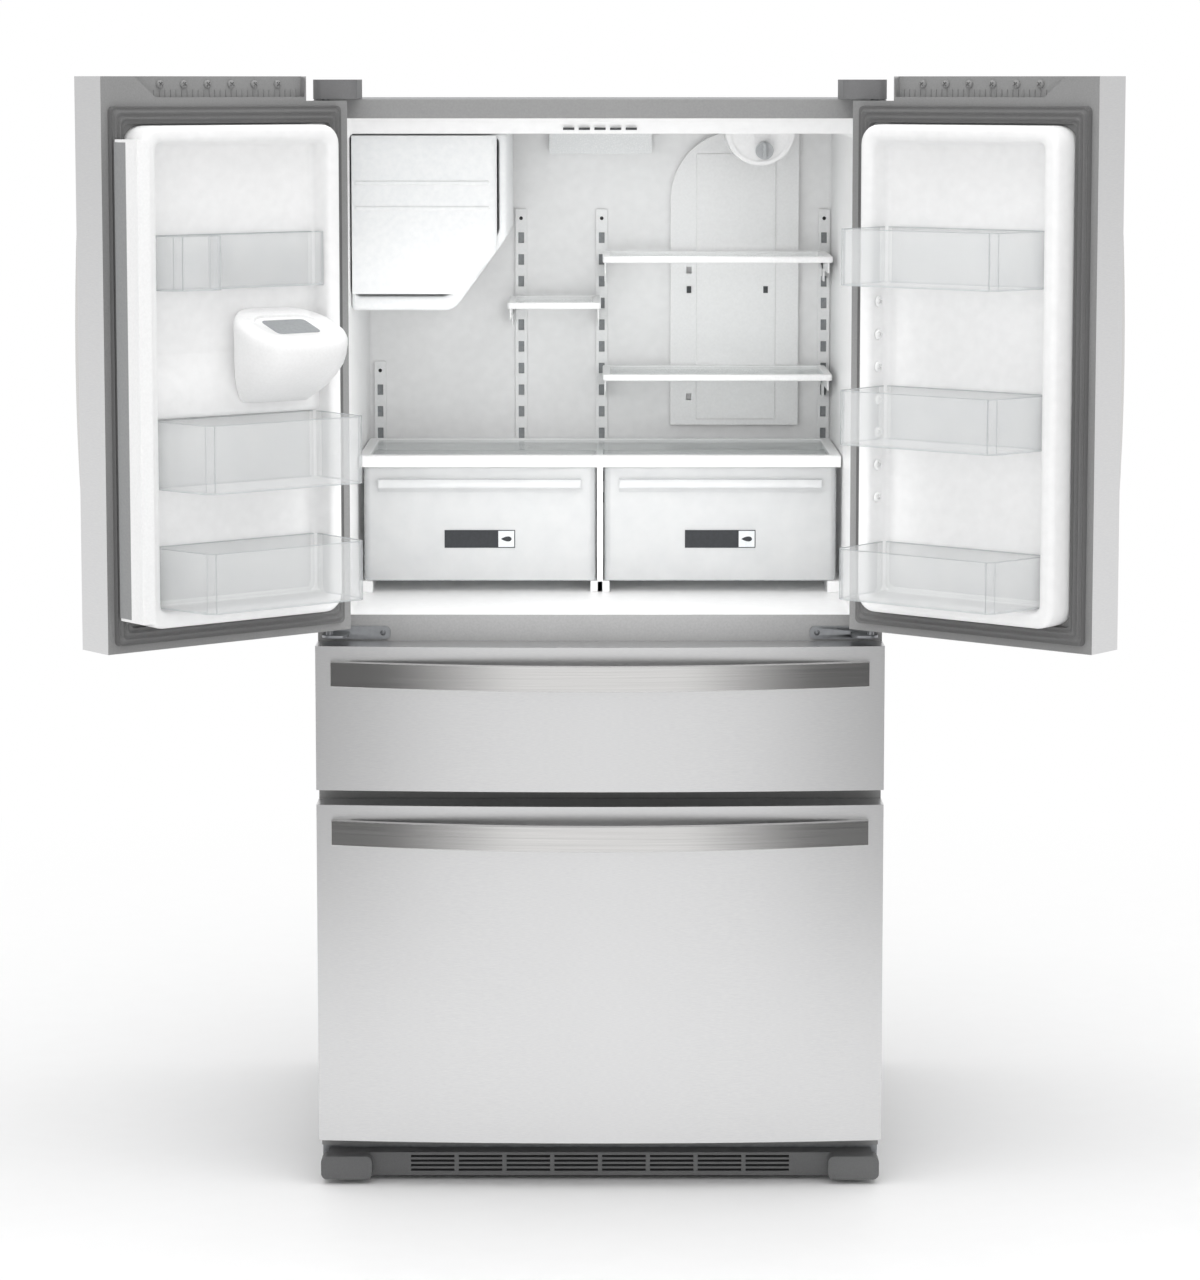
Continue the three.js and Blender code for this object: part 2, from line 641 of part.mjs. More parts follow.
// A clear bin that slides out, with a folded lip along the top of its front as the pull.
function crisper(side) {
  const inner = CRISPER_POST / 2 + CRISPER_CLEARANCE;
  const outer = INNER_HALF - 10;
  const span = (inset) => [side * (inner + inset), side * (outer - inset)];
  const y0 = CRISPER_FRONT;
  const y1 = CRISPER_FRONT + CRISPER_DEPTH - 12;
  const wall = CRISPER_WALL;
  const tub = cut(
    upright(roundedOutline(span(0), [y0, y1], 12), CRISPER_BOTTOM, CRISPER_TOP, 4),
    upright(roundedOutline(span(wall), [y0 + wall, y1 - wall], 10), CRISPER_BOTTOM + wall,
      CRISPER_TOP + 1, 4),
  );
  const pull = outline([
    [y0 + 1, CRISPER_TOP - 42], [y0 + 1, CRISPER_TOP - 20], [y0 - 14, CRISPER_TOP - 20],
    [y0 - 14, CRISPER_TOP - 34], [y0 - 11, CRISPER_TOP - 34], [y0 - 11, CRISPER_TOP - 23],
    [y0 - 2, CRISPER_TOP - 23], [y0 - 2, CRISPER_TOP - 42],
  ]);
  const [left, right] = side > 0 ? [inner + 25, outer - 25] : [-outer + 25, -inner - 25];
  return join(tub, sideways(pull, left, right));
}

const DUCT_LEFT = INNER_HALF - 282;

// Cover over the cold air duct on the rear wall, arched at its top left.
function airDuctCover() {
  const left = DUCT_LEFT;
  const right = INNER_HALF - 58;
  const top = FRESH_CEILING - SEAM;
  const bottom = COVER_TOP + 20;
  const arch = 120;
  const shape = new THREE.Shape();
  shape.moveTo(left, bottom);
  shape.lineTo(right, bottom);
  shape.lineTo(right, top);
  shape.lineTo(left + arch, top);
  shape.absarc(left + arch, top - arch, arch, Math.PI / 2, Math.PI);
  shape.lineTo(left, bottom);
  let body = pushed(shape, FRESH_DEPTH - DUCT_DEPTH, FRESH_DEPTH - GAP, 8);
  for (const x of [left + 28, right - 62]) {
    for (const z of [shelfTop(SHELVES[0]) - 40, shelfTop(SHELVES[1]) - 60]) {
      const through = [FRESH_DEPTH - DUCT_DEPTH - 1, FRESH_DEPTH];
      body = cut(body, block([x, x + 9], through, [z, z + 12]));
    }
  }
  return body;
}

const FILTER = { x: INNER_HALF - 135, radius: 58, front: 400, back: 560, knobDrop: 33, knob: 15 };
FILTER.knobX = FILTER.x + 7;

// Round water filter housing hung from the ceiling, with the spindle that its knob turns on.
function filterHousing() {
  const under = FRESH_CEILING - GAP;
  const barrel = cylinderY(FILTER.radius, [FILTER.front, FILTER.back], FILTER.x, FRESH_CEILING, 36);
  const above = block(
    [FILTER.x - 2 * FILTER.radius, FILTER.x + 2 * FILTER.radius],
    [FILTER.front - 5, FILTER.back + 5],
    [under, under + 2 * FILTER.radius],
  );
  const knobZ = FRESH_CEILING - FILTER.knobDrop;
  const spindle = cylinderY(5, [FILTER.front - 10, FILTER.front + 1], FILTER.knobX, knobZ, 16);
  return join(cut(barrel, above), spindle);
}

function filterKnob() {
  const z = FRESH_CEILING - FILTER.knobDrop;
  const face = FILTER.front - GAP;
  const disc = cylinderY(FILTER.knob, [face - 13, face], FILTER.knobX, z, 28);
  const bar = block([FILTER.knobX - 3, FILTER.knobX + 3], [face - 21, face - 12], [z - 12, z + 12]);
  const socket = cylinderY(5.5, [face - 10.5, face + 1], FILTER.knobX, z, 16);
  return cut(join(disc, bar), socket);
}

function rearLamp() {
  const lens = roundedOutline([-88, DUCT_LEFT - 33], [FRESH_CEILING - 42, FRESH_CEILING - GAP], 4);
  return pushed(lens, FRESH_DEPTH - 42, FRESH_DEPTH - GAP, 2);
}

const ICE = {
  left: 0.5 - INNER_HALF, right: -151, front: 152, back: FRESH_DEPTH - 40, height: 288, wall: 4,
  doorLeft: 3 - INNER_HALF, doorRight: -167, doorThickness: 20, doorRise: 28, chamfer: [62, 72],
};
const ICE_BOTTOM = FRESH_CEILING - ICE.height;
const ICE_PIVOT = { x: ICE.doorRight - ICE.doorThickness / 2, y: ICE.front - 11.5 };

// Insulated housing of the ice maker in the top left corner, open at the front.
function iceBox() {
  const top = FRESH_CEILING - GAP;
  const { wall } = ICE;
  return cut(
    block([ICE.left, ICE.right], [ICE.front, ICE.back], [ICE_BOTTOM, top]),
    block(
      [ICE.left + wall, ICE.right - wall - 10],
      [ICE.front - 1, ICE.back - wall],
      [ICE_BOTTOM + 24, top - wall],
    ),
    block(
      [ICE.left + 53.5, ICE.left + 130.5],
      [ICE.front - 1, ICE.front + 12],
      [ICE_BOTTOM + 8, ICE_BOTTOM + 18],
    ),
  );
}

// Front door of the ice maker. Its pivot edge is round, so that it turns clear of the housing.
function iceBoxDoor() {
  const radius = ICE.doorThickness / 2;
  const z0 = ICE_BOTTOM + ICE.doorRise;
  const z1 = FRESH_CEILING - 4;
  const plan = new THREE.Shape();
  plan.moveTo(ICE_PIVOT.x, ICE_PIVOT.y - radius);
  plan.absarc(ICE_PIVOT.x, ICE_PIVOT.y, radius, -Math.PI / 2, Math.PI / 2);
  plan.lineTo(ICE.doorLeft, ICE_PIVOT.y + radius);
  plan.lineTo(ICE.doorLeft, ICE_PIVOT.y - radius);
  const [run, rise] = ICE.chamfer;
  const front = outline([
    [ICE.doorLeft - 1, z0], [ICE.doorRight - run, z0], [ICE.doorRight + 1, z0 + rise],
    [ICE.doorRight + 1, z1], [ICE.doorLeft - 1, z1],
  ]);
  const slab = upright(plan, z0, z1, 8);
  return slab.intersect(pushed(front, ICE_PIVOT.y - 30, ICE_PIVOT.y + 30));
}

// ---------------------------------------------------------------- fronts of doors and drawers

function frontFace(x) {
  return -FRONT_EDGE - FRONT_BULGE * (1 - (x / HALF) ** 2);
}

// Plan outline of a front from x0 to x1: flat inside, curved outside, moved in by an inset.
function frontPlan(x0, x1, inset = 0) {
  const points = [[x0 + inset, -FRONT_INNER - inset]];
  for (let step = 0; step <= CURVE_STEPS; step += 1) {
    const x = x0 + inset + ((x1 - x0 - 2 * inset) * step) / CURVE_STEPS;
    points.push([x, frontFace(x) + inset]);
  }
  points.push([x1 - inset, -FRONT_INNER - inset]);
  return outline(points);
}

function ordered(a, b) {
  return a < b ? [a, b] : [b, a];
}

const GRIP = { low: [100, HALF - 80.5], deep: [55, HALF - 41.5], rise: 10, depth: 14 };

// The pocket in the inner side of a door's top cap: a trapezoid, wide at the top.
function gripPocket(side, wall) {
  const [deep0, deep1] = GRIP.deep;
  const [low0, low1] = GRIP.low;
  const bottom = DOOR_TOP - 42 + GRIP.rise - wall;
  const shape = outline([
    [side * (low0 - wall), bottom], [side * (low1 + wall), bottom],
    [side * (deep1 - 36 + wall), DOOR_TOP + 5], [side * (deep0 - wall), DOOR_TOP + 5],
  ]);
  return pushed(shape, -FRONT_INNER - GRIP.depth - wall, -FRONT_INNER + 5);
}

// Hollow steel door, curved in front, open behind under the liner, notched for its top hinge.
function doorShell(side, frontOpening) {
  const [x0, x1] = ordered(side * SEAM, side * HALF);
  const plan = (inset) => frontPlan(x0, x1, inset);
  const notch = (wall) => block(
    [side * (NOTCH_X - wall), side * (HALF + 5)],
    [-FRONT_EDGE - FRONT_BULGE - 5, 5],
    [NOTCH_Z - wall, DOOR_TOP + 5],
  );
  const cavity = cut(
    upright(plan(SHEET), DOOR_BOTTOM + SHEET, DOOR_TOP - SHEET),
    notch(SHEET),
    gripPocket(side, SHEET),
  );
  const behindLiner = block(
    [side * (DYKE_FREE_END + 12), side * (DYKE_HINGE_END - 12)],
    [-FRONT_INNER - 5, 5],
    [DYKE_Z0 + 12, DYKE_Z1 - 12],
  );
  const hole = PIN_RADIUS + GAP;
  const socket = (z) => cylinderZ(hole, [z - 6, z + 6], side * PIN_X, -PIN_FORWARD);
  let body = cut(upright(plan(0), DOOR_BOTTOM, DOOR_TOP), notch(0), gripPocket(side, 0));
  body = cut(body, cavity, behindLiner, socket(DOOR_BOTTOM), socket(NOTCH_Z));
  return frontOpening ? cut(body, frontOpening) : body;
}

// The formed white liner of a door: a raised rim round a dish, hollow on its hidden side.
function doorLiner(side) {
  const base = -FRONT_INNER + GAP;
  const ridge = -FRONT_INNER + DYKE_HEIGHT;
  const floor = -FRONT_INNER + PANEL_HEIGHT;
  const rim = (inset) => roundedOutline(
    [side * (DYKE_FREE_END + inset), side * (DYKE_HINGE_END - inset)],
    [DYKE_Z0 + inset, DYKE_Z1 - inset],
    Math.max(DYKE_RADIUS - inset, 4),
  );
  const dish = pushed(rim(DYKE_WIDTH), floor, ridge + 5, 3);
  const hollow = cut(
    pushed(rim(SKIN), base - 1, ridge - SKIN, 3),
    pushed(rim(DYKE_WIDTH - SKIN), floor - SKIN, ridge + 5, 3),
  );
  return cut(pushed(rim(0), base, ridge, 3), hollow, dish);
}

// A seal of rectangular section round the inner face of a front.
function gasketRing([x0, x1], [z0, z1], widths) {
  const [low, high] = ordered(x0, x1);
  const shape = roundedOutline([low, high], [z0, z1], 6);
  const [left, right, bottom, top] = widths;
  shape.holes.push(roundedOutline([low + left, high - right], [z0 + bottom, z1 - top], 10));
  return pushed(shape, -FRONT_INNER + GAP, -GAP, 3);
}

function doorGasket(side) {
  const free = DYKE_FREE_END - GAP - (SEAM + FRAME_BORDER);
  const ends = side > 0 ? [free, GASKET_WIDTH] : [GASKET_WIDTH, free];
  return gasketRing(
    [side * (SEAM + FRAME_BORDER), side * (HALF - GASKET_HINGE_BORDER)],
    [DOOR_BOTTOM + FRAME_BORDER, DYKE_Z1 + SEAM + GASKET_WIDTH],
    [...ends, DYKE_BOTTOM - FRAME_BORDER - GAP, GASKET_WIDTH],
  );
}

// Bowed flat bar: its outline lies in the plane of the bow, with a foot at each end.
// The face function gives the depth of the front where the bar stands.
function bowedBar(half, face) {
  const end = -face(half) + HANDLE_THICKNESS + GAP;
  const bow = (t) => -end - (HANDLE_REACH - end) * (1 - (t / half) ** 2);
  const steps = 14;
  const points = [];
  for (let step = 0; step <= steps; step += 1) {
    const t = -half + (2 * half * step) / steps;
    points.push([t, bow(t)]);
  }
  points.push([half, face(half) - GAP], [half - HANDLE_FOOT, face(half - HANDLE_FOOT) - GAP]);
  const inside = half - HANDLE_FOOT;
  for (let step = 0; step <= steps; step += 1) {
    const t = inside - (2 * inside * step) / steps;
    points.push([t, bow(t) + HANDLE_THICKNESS]);
  }
  points.push([-inside, face(inside) - GAP], [-half, face(half) - GAP]);
  return outline(points);
}

function drawerHandle(frontTop) {
  const z1 = frontTop - DRAWER_HANDLE_DROP;
  return upright(bowedBar(HALF - HANDLE_MARGIN, frontFace), z1 - HANDLE_WIDTH, z1);
}

function doorHandle(side) {
  const middle = (DOOR_BOTTOM + DOOR_TOP) / 2;
  const half = (DOOR_TOP - DOOR_BOTTOM) / 2 - HANDLE_MARGIN;
  const deepest = frontFace(DOOR_HANDLE_INSET);
  const flat = bowedBar(half, () => deepest);
  const points = flat.getPoints().map((point) => [point.y, middle + point.x]);
  const [x0, x1] = ordered(side * DOOR_HANDLE_INSET, side * (DOOR_HANDLE_INSET + HANDLE_WIDTH));
  return sideways(outline(points), x0, x1);
}

// An open door bin between the liner's side rims, its free end sloping in towards the front.
function doorBin(side, { depth, z0, z1, from, to, step }) {
  const wall = SKIN;
  const back = -FRONT_INNER + PANEL_HEIGHT + GAP;
  const slope = 20;
  const plan = (inset) => outline([
    [side * (from + inset), back + inset],
    [side * (to - inset), back + inset],
    [side * (to - inset), depth - inset - 10],
    [side * (to - inset - 10), depth - inset],
    [side * (from + inset + slope + 10), depth - inset],
    [side * (from + inset + slope), depth - inset - 10],
  ]);
  let body = upright(plan(0), z0, z1);
  let hollow = upright(plan(wall), z0 + wall, z1 + 1);
  if (step) {
    const beyond = (y) => block([side * step.at, side * (to + 5)], [y, depth + 5], [z0 - 5, z1 + 5]);
    const inside = block(
      [side * (step.at - wall), side * (to + 5)],
      [step.depth - wall, depth + 5],
      [z0 - 5, z1 + 5],
    );
    body = cut(body, beyond(step.depth));
    hollow = cut(hollow, inside);
  }
  return cut(body, hollow);
}

const BIN_FROM = DYKE_FREE_END + DYKE_WIDTH + SEAM;
const BIN_TO = DYKE_HINGE_END - DYKE_WIDTH - SEAM;

const RIGHT_BINS = [
  { name: 'right_door_bin_top', depth: 138, z0: 1460, z1: 1547 },
  { name: 'right_door_bin_middle', depth: 138, z0: 1215, z1: 1299 },
  { name: 'right_door_bin_bottom', depth: 138, z0: 975, z1: 1054 },
];

// The left door's top bin is shallow where it faces the ice maker.
const LEFT_BINS = [
  { name: 'left_door_bin_top', depth: 62, z0: 1457, z1: 1540, step: { at: 165, depth: 34 } },
  { name: 'left_door_bin_middle', depth: 144, z0: 1156, z1: 1260 },
  { name: 'left_door_bin_bottom', depth: 144, z0: 975, z1: 1067 },
];

// ---------------------------------------------------------------- left door only

const FLAP = {
  thickness: 22, width: 70, z0: DYKE_Z0 + 14, z1: DYKE_Z1 - 20, pinRadius: 3, pinDepth: 10,
};
const FLAP_PIVOT = { x: 24, y: FLAP.thickness / 2 + GAP };

// Swinging bar that closes the gap between the doors. It is drawn folded against the door's edge.
function mullionFlap() {
  const radius = FLAP.thickness / 2;
  const x = -FLAP_PIVOT.x;
  const plan = new THREE.Shape();
  plan.moveTo(x - radius, FLAP_PIVOT.y);
  plan.absarc(x, FLAP_PIVOT.y, radius, Math.PI, 2 * Math.PI);
  plan.lineTo(x + radius, GAP + FLAP.width);
  plan.lineTo(x - radius, GAP + FLAP.width);
  const hole = FLAP.pinRadius + GAP;
  const deep = FLAP.pinDepth + 1;
  return cut(
    upright(plan, FLAP.z0, FLAP.z1, 10),
    cylinderZ(hole, [FLAP.z1 - deep, FLAP.z1 + 5], x, FLAP_PIVOT.y, 14),
    cylinderZ(hole, [FLAP.z0 - 5, FLAP.z0 + deep], x, FLAP_PIVOT.y, 14),
  );
}

// Lugs on the left door's liner that carry the pins of the mullion flap.
function flapLugs() {
  const lug = (z0, z1) => block([-DYKE_FREE_END - 20, -FLAP_PIVOT.x + 8], [1, 21], [z0, z1]);
  const pin = (z0, z1) => cylinderZ(FLAP.pinRadius, [z0, z1], -FLAP_PIVOT.x, FLAP_PIVOT.y, 14);
  return [
    lug(FLAP.z1 + GAP, FLAP.z1 + 8),
    pin(FLAP.z1 - FLAP.pinDepth, FLAP.z1 + 1),
    lug(FLAP.z0 - 8, FLAP.z0 - GAP),
    pin(FLAP.z0 - 1, FLAP.z0 + FLAP.pinDepth),
  ];
}

const CHUTE = { height: 143, width: 180, depth: 140 };
CHUTE.z1 = ICE_BOTTOM + ICE.doorRise - 4;
CHUTE.z0 = CHUTE.z1 - CHUTE.height;
CHUTE.x = -(DYKE_HINGE_END - DYKE_WIDTH - SEAM - CHUTE.width / 2);

// Funnel on the inside of the left door that leads ice from the ice maker to the dispenser.
function iceChute() {
  const back = -FRONT_INNER + PANEL_HEIGHT + GAP;
  const side = outline([
    [back, CHUTE.z0], [back + 40, CHUTE.z0], [CHUTE.depth - 8, CHUTE.z0 + 62],
    [CHUTE.depth, CHUTE.z0 + 84], [CHUTE.depth, CHUTE.z1], [back, CHUTE.z1],
  ]);
  const half = CHUTE.width / 2;
  const plan = new THREE.Shape();
  plan.moveTo(CHUTE.x - half, back);
  plan.lineTo(CHUTE.x + half, back);
  plan.lineTo(CHUTE.x + half, CHUTE.depth - half + 15);
  plan.quadraticCurveTo(CHUTE.x + half, CHUTE.depth, CHUTE.x, CHUTE.depth);
  plan.quadraticCurveTo(CHUTE.x - half, CHUTE.depth, CHUTE.x - half, CHUTE.depth - half + 15);
  const body = sideways(side, CHUTE.x - half, CHUTE.x + half)
    .intersect(upright(plan, CHUTE.z0 - 1, CHUTE.z1 + 1, 8));
  const mouth = block(
    [CHUTE.x - 52, CHUTE.x + 52],
    [back + 24, CHUTE.depth - 22],
    [CHUTE.z0 + 70, CHUTE.z1 + 1],
  );
  return cut(body, mouth);
}

const DISPENSER = {
  x0: 132.5 - HALF, x1: 322.5 - HALF, z0: DOOR_BOTTOM + 285, z1: DOOR_BOTTOM + 605,
  back: -22, wall: 5, recessTop: DOOR_BOTTOM + 515,
  paddleWidth: 44, paddlePivot: { y: -52, z: DOOR_BOTTOM + 493 }, lug: 5, stub: 3,
};

function dispenserOpening() {
  const d = DISPENSER;
  return block([d.x0, d.x1], [-FRONT_EDGE - FRONT_BULGE - 5, -50], [d.z0, d.z1]);
}

// Water and ice dispenser set into the left door: a recess under a control panel, with a drip
// tray at its foot and lugs for the paddle.
function dispenserHousing() {
  const d = DISPENSER;
  const proud = 2;
  const [x0, x1] = [d.x0 + GAP, d.x1 - GAP];
  const points = [[x0, d.back]];
  for (let step = 0; step <= 4; step += 1) {
    const x = x0 + ((x1 - x0) * step) / 4;
    points.push([x, frontFace(x) - proud]);
  }
  points.push([x1, d.back]);
  const front = frontFace(d.x1) - 20;
  let body = upright(outline(points), d.z0 + GAP, d.z1 - GAP);
  const recess = [x0 + d.wall, x1 - d.wall];
  body = cut(
    body,
    block(recess, [front, d.back - 4], [d.z0 + 14, d.recessTop]),
    block(recess, [frontFace(d.x0) + 6, d.back + 1], [d.recessTop + 4, d.z1 - d.wall]),
  );
  const middle = (d.x0 + d.x1) / 2;
  const { y, z } = d.paddlePivot;
  for (const end of [-1, 1]) {
    const inside = middle + end * (d.paddleWidth / 2 + 1);
    const lug = block([inside, inside + end * d.lug], [y - 8, y + 8], [z - 8, d.recessTop + 1]);
    const stub = cylinderX(d.stub, [inside - end * 6, inside + end], y, z, 14);
    body = join(body, lug, stub);
  }
  return body;
}

function dispenserPaddle() {
  const d = DISPENSER;
  const middle = (d.x0 + d.x1) / 2;
  const { y, z } = d.paddlePivot;
  const span = [middle - d.paddleWidth / 2, middle + d.paddleWidth / 2];
  const profile = outline([
    [y - 3, z], [y + 3, z], [y + 2, z - 60], [y - 2, z - 92], [y - 6, z - 92], [y - 3, z - 60],
  ]);
  const bore = cylinderX(d.stub + GAP, [span[0] - 1, span[1] + 1], y, z, 14);
  return cut(join(sideways(profile, ...span), cylinderX(7, span, y, z, 18)), bore);
}

// ---------------------------------------------------------------- drawers

// Hollow steel drawer front with its two slide arms. A foam filling hole opens its hollow.
function drawerFront(z0, z1, railZ, armEnd) {
  const plan = (inset) => frontPlan(-HALF, HALF, inset);
  const middle = (z0 + z1) / 2;
  const cavity = join(
    upright(plan(SHEET), z0 + SHEET, z1 - SHEET),
    cylinderY(12, [-FRONT_INNER - 5, -FRONT_INNER + 5], 0, middle, 16),
  );
  let body = cut(upright(plan(0), z0, z1), cavity);
  const outer = INNER_HALF - RAIL.width - SEAM;
  for (const side of [-1, 1]) {
    const arm = block(
      [side * outer, side * (outer - SLIDE_ARM.thickness)],
      [-FRONT_INNER - 0.5, armEnd],
      [railZ - SLIDE_ARM.height / 2, railZ + SLIDE_ARM.height / 2],
    );
    body = join(body, arm);
  }
  return body;
}

// Open tub that hangs between a drawer's slide arms by the flange along each side.
function drawerTub({ z0, z1, railZ, y1, radius }) {
  const wall = SKIN;
  const armInner = INNER_HALF - RAIL.width - SEAM - SLIDE_ARM.thickness;
  const half = armInner - SEAM;
  const y0 = -FRONT_INNER + SEAM;
  const shell = cut(
    upright(roundedOutline([-half, half], [y0, y1], radius), z0, z1, 4),
    upright(roundedOutline([-half + wall, half - wall], [y0 + wall, y1 - wall], radius - wall),
      z0 + wall, z1 + 1, 4),
  );
  const flangeZ = railZ + SLIDE_ARM.height / 2 + GAP;
  const flanges = [-1, 1].map((side) => block(
    [side * (half - 1), side * (half + SEAM + SLIDE_ARM.thickness)],
    [y0 + radius, y1 - radius],
    [flangeZ, flangeZ + wall],
  ));
  return join(shell, ...flanges);
}

// ---------------------------------------------------------------- assembly

const cabinet = new THREE.Group();
cabinet.add(
  piece('outer_shell', outerShell(), darkSteel),
  piece('back_panel', backPanel(), grayPaint),
  piece('front_frame', frontFrame(), grayPaint),
  piece('fresh_food_liner', freshFoodLiner(), whitePlastic),
  piece('pantry_liner', pantryLiner(), whitePlastic),
  piece('freezer_liner', freezerLiner(), whitePlastic),
  piece('base_pan', basePan(), darkSteel),
  piece('base_grille', baseGrille(), grayPlastic),
  piece('machine_cover', machineCover(), grayPaint),
  piece('compressor', compressor(), blackPaint),
  piece('crisper_cover', crisperCover(), glass),
  piece('air_duct_cover', airDuctCover(), whitePlastic),
  piece('filter_housing', filterHousing(), whitePlastic),
  piece('filter_knob', filterKnob(), grayPlastic),
  piece('rear_lamp', rearLamp(), clearPlastic),
  piece('ice_box', iceBox(), whitePlastic),
  piece('ice_box_door', iceBoxDoor(), whitePlastic),
);
for (const track of TRACKS) {
  cabinet.add(piece(track.name, shelfTrack(track), whitePlastic));
}
for (const spec of SHELVES) {
  cabinet.add(piece(spec.name, shelf(spec), glass));
}
for (const [label, side] of [['left', -1], ['right', 1]]) {
  cabinet.add(
    piece(`hinge_cover_${label}`, hingeCover(side), grayPlastic),
    piece(`upper_hinge_${label}`, upperHinge(side), darkSteel),
    piece(`lower_hinge_${label}`, lowerHinge(side), darkSteel),
    piece(`level_leg_${label}`, levelLeg(side), darkSteel),
    piece(`rear_roller_${label}`, roller(side), blackPaint),
    piece(`crisper_${label}`, crisper(side), clearPlastic),
  );
}

const pantryDrawer = new THREE.Group();
pantryDrawer.add(
  piece('pantry_front', drawerFront(PANTRY_FRONT_BOTTOM, PANTRY_FRONT_TOP, PANTRY_RAIL_Z, ARM_END),
    stainless),
  piece('pantry_handle', drawerHandle(PANTRY_FRONT_TOP), stainless),
  piece('pantry_tub', drawerTub({
    z0: PANTRY_FLOOR + 8, z1: PANTRY_CEILING - 10, railZ: PANTRY_RAIL_Z, y1: ARM_END - 5, radius: 12,
  }), clearPlastic),
);

const freezerDrawer = new THREE.Group();
freezerDrawer.add(
  piece('freezer_front', drawerFront(FREEZER_FRONT_BOTTOM, FREEZER_FRONT_TOP, FREEZER_RAIL_Z, ARM_END),
    stainless),
  piece('freezer_handle', drawerHandle(FREEZER_FRONT_TOP), stainless),
  piece('freezer_basket', drawerTub({
    z0: FREEZER_FLOOR + 12,
    z1: FREEZER_CEILING - 30,
    railZ: FREEZER_RAIL_Z,
    y1: MACHINE_FRONT - MACHINE_SPACE - LINER_WALL - 10,
    radius: 14,
  }), whitePlastic),
);

// Pieces drawn shut, swung open about the door's pin.
function hungDoor(side, pieces) {
  const door = new THREE.Group();
  door.position.set(side * PIN_X, -PIN_FORWARD, 0);
  door.rotation.z = side * OPEN_ANGLE;
  for (const mesh of pieces) {
    mesh.position.set(-side * PIN_X, PIN_FORWARD, 0);
    door.add(mesh);
  }
  return door;
}

function bins(side, specs) {
  return specs.map((spec) => (
    piece(spec.name, doorBin(side, { from: BIN_FROM, to: BIN_TO, ...spec }), clearPlastic)
  ));
}

const leftDoor = hungDoor(-1, [
  piece('left_door_shell', doorShell(-1, dispenserOpening()), stainless),
  piece('left_door_liner', join(doorLiner(-1), ...flapLugs()), whitePlastic),
  piece('left_door_gasket', doorGasket(-1), gasketRubber),
  piece('left_door_handle', doorHandle(-1), stainless),
  piece('mullion_flap', mullionFlap(), grayPlastic),
  piece('ice_chute', iceChute(), whitePlastic),
  piece('dispenser_housing', dispenserHousing(), blackPaint),
  piece('dispenser_paddle', dispenserPaddle(), grayPlastic),
  ...bins(-1, LEFT_BINS),
]);

const rightDoor = hungDoor(1, [
  piece('right_door_shell', doorShell(1), stainless),
  piece('right_door_liner', doorLiner(1), whitePlastic),
  piece('right_door_gasket', doorGasket(1), gasketRubber),
  piece('right_door_handle', doorHandle(1), stainless),
  ...bins(1, RIGHT_BINS),
]);

const refrigerator = new THREE.Group();
refrigerator.add(cabinet, pantryDrawer, freezerDrawer, leftDoor, rightDoor);
refrigerator.updateMatrixWorld(true);
const footprint = new THREE.Box3().setFromObject(refrigerator, true);
refrigerator.position.y = -(footprint.min.y + footprint.max.y) / 2;

export default refrigerator;
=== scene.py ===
import json
from functools import partial
from math import pi, radians

import bmesh
import bpy
import numpy as np
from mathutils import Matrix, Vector


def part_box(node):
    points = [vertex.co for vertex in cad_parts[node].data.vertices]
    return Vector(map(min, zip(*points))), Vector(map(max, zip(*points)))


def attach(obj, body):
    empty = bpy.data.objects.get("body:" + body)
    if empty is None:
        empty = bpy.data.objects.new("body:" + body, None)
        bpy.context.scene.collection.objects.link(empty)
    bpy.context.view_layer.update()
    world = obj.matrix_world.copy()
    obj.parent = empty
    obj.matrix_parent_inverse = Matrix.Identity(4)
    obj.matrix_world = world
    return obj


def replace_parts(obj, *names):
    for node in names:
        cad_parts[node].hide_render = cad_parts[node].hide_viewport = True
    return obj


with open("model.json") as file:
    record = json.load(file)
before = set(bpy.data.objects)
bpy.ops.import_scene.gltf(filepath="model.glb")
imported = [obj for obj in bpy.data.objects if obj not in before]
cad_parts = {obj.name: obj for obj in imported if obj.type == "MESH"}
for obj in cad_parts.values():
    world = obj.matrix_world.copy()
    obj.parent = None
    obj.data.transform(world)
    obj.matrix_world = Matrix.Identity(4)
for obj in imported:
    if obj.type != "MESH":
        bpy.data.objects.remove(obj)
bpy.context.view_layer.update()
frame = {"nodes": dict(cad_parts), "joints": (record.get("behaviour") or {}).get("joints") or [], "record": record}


# ------------------------------------------------------------------ the case
# The case is one sheet of steel folded over the top and both sides, painted gray with a fine
# texture, and closed by a flat panel at the back and a louvred cover over the compressor.

def srgb(code):
    """Linear colour of a hex code: each channel c above 0.04045 becomes ((c + 0.055) / 1.055)
    to the power 2.4, and a darker one becomes c / 12.92."""
    c = np.array([int(code[i:i + 2], 16) for i in (1, 3, 5)]) / 255
    linear = np.where(c > 0.04045, ((c + 0.055) / 1.055) ** 2.4, c / 12.92)
    return (*linear.tolist(), 1.0)


def add(owner, kind, settings={}, numbered={}, **named):
    """Adds one node: its settings first, then its sockets by number or by name, each of them set
    to a value or linked to another node's socket."""
    node = owner.node_tree.nodes.new(kind)
    for name, value in settings.items():
        setattr(node, name, value)
    sockets = {**numbered, **{name.replace("_", " "): value for name, value in named.items()}}
    for key, value in sockets.items():
        if isinstance(value, bpy.types.NodeSocket):
            owner.node_tree.links.new(value, node.inputs[key])
        else:
            node.inputs[key].default_value = value
    return node


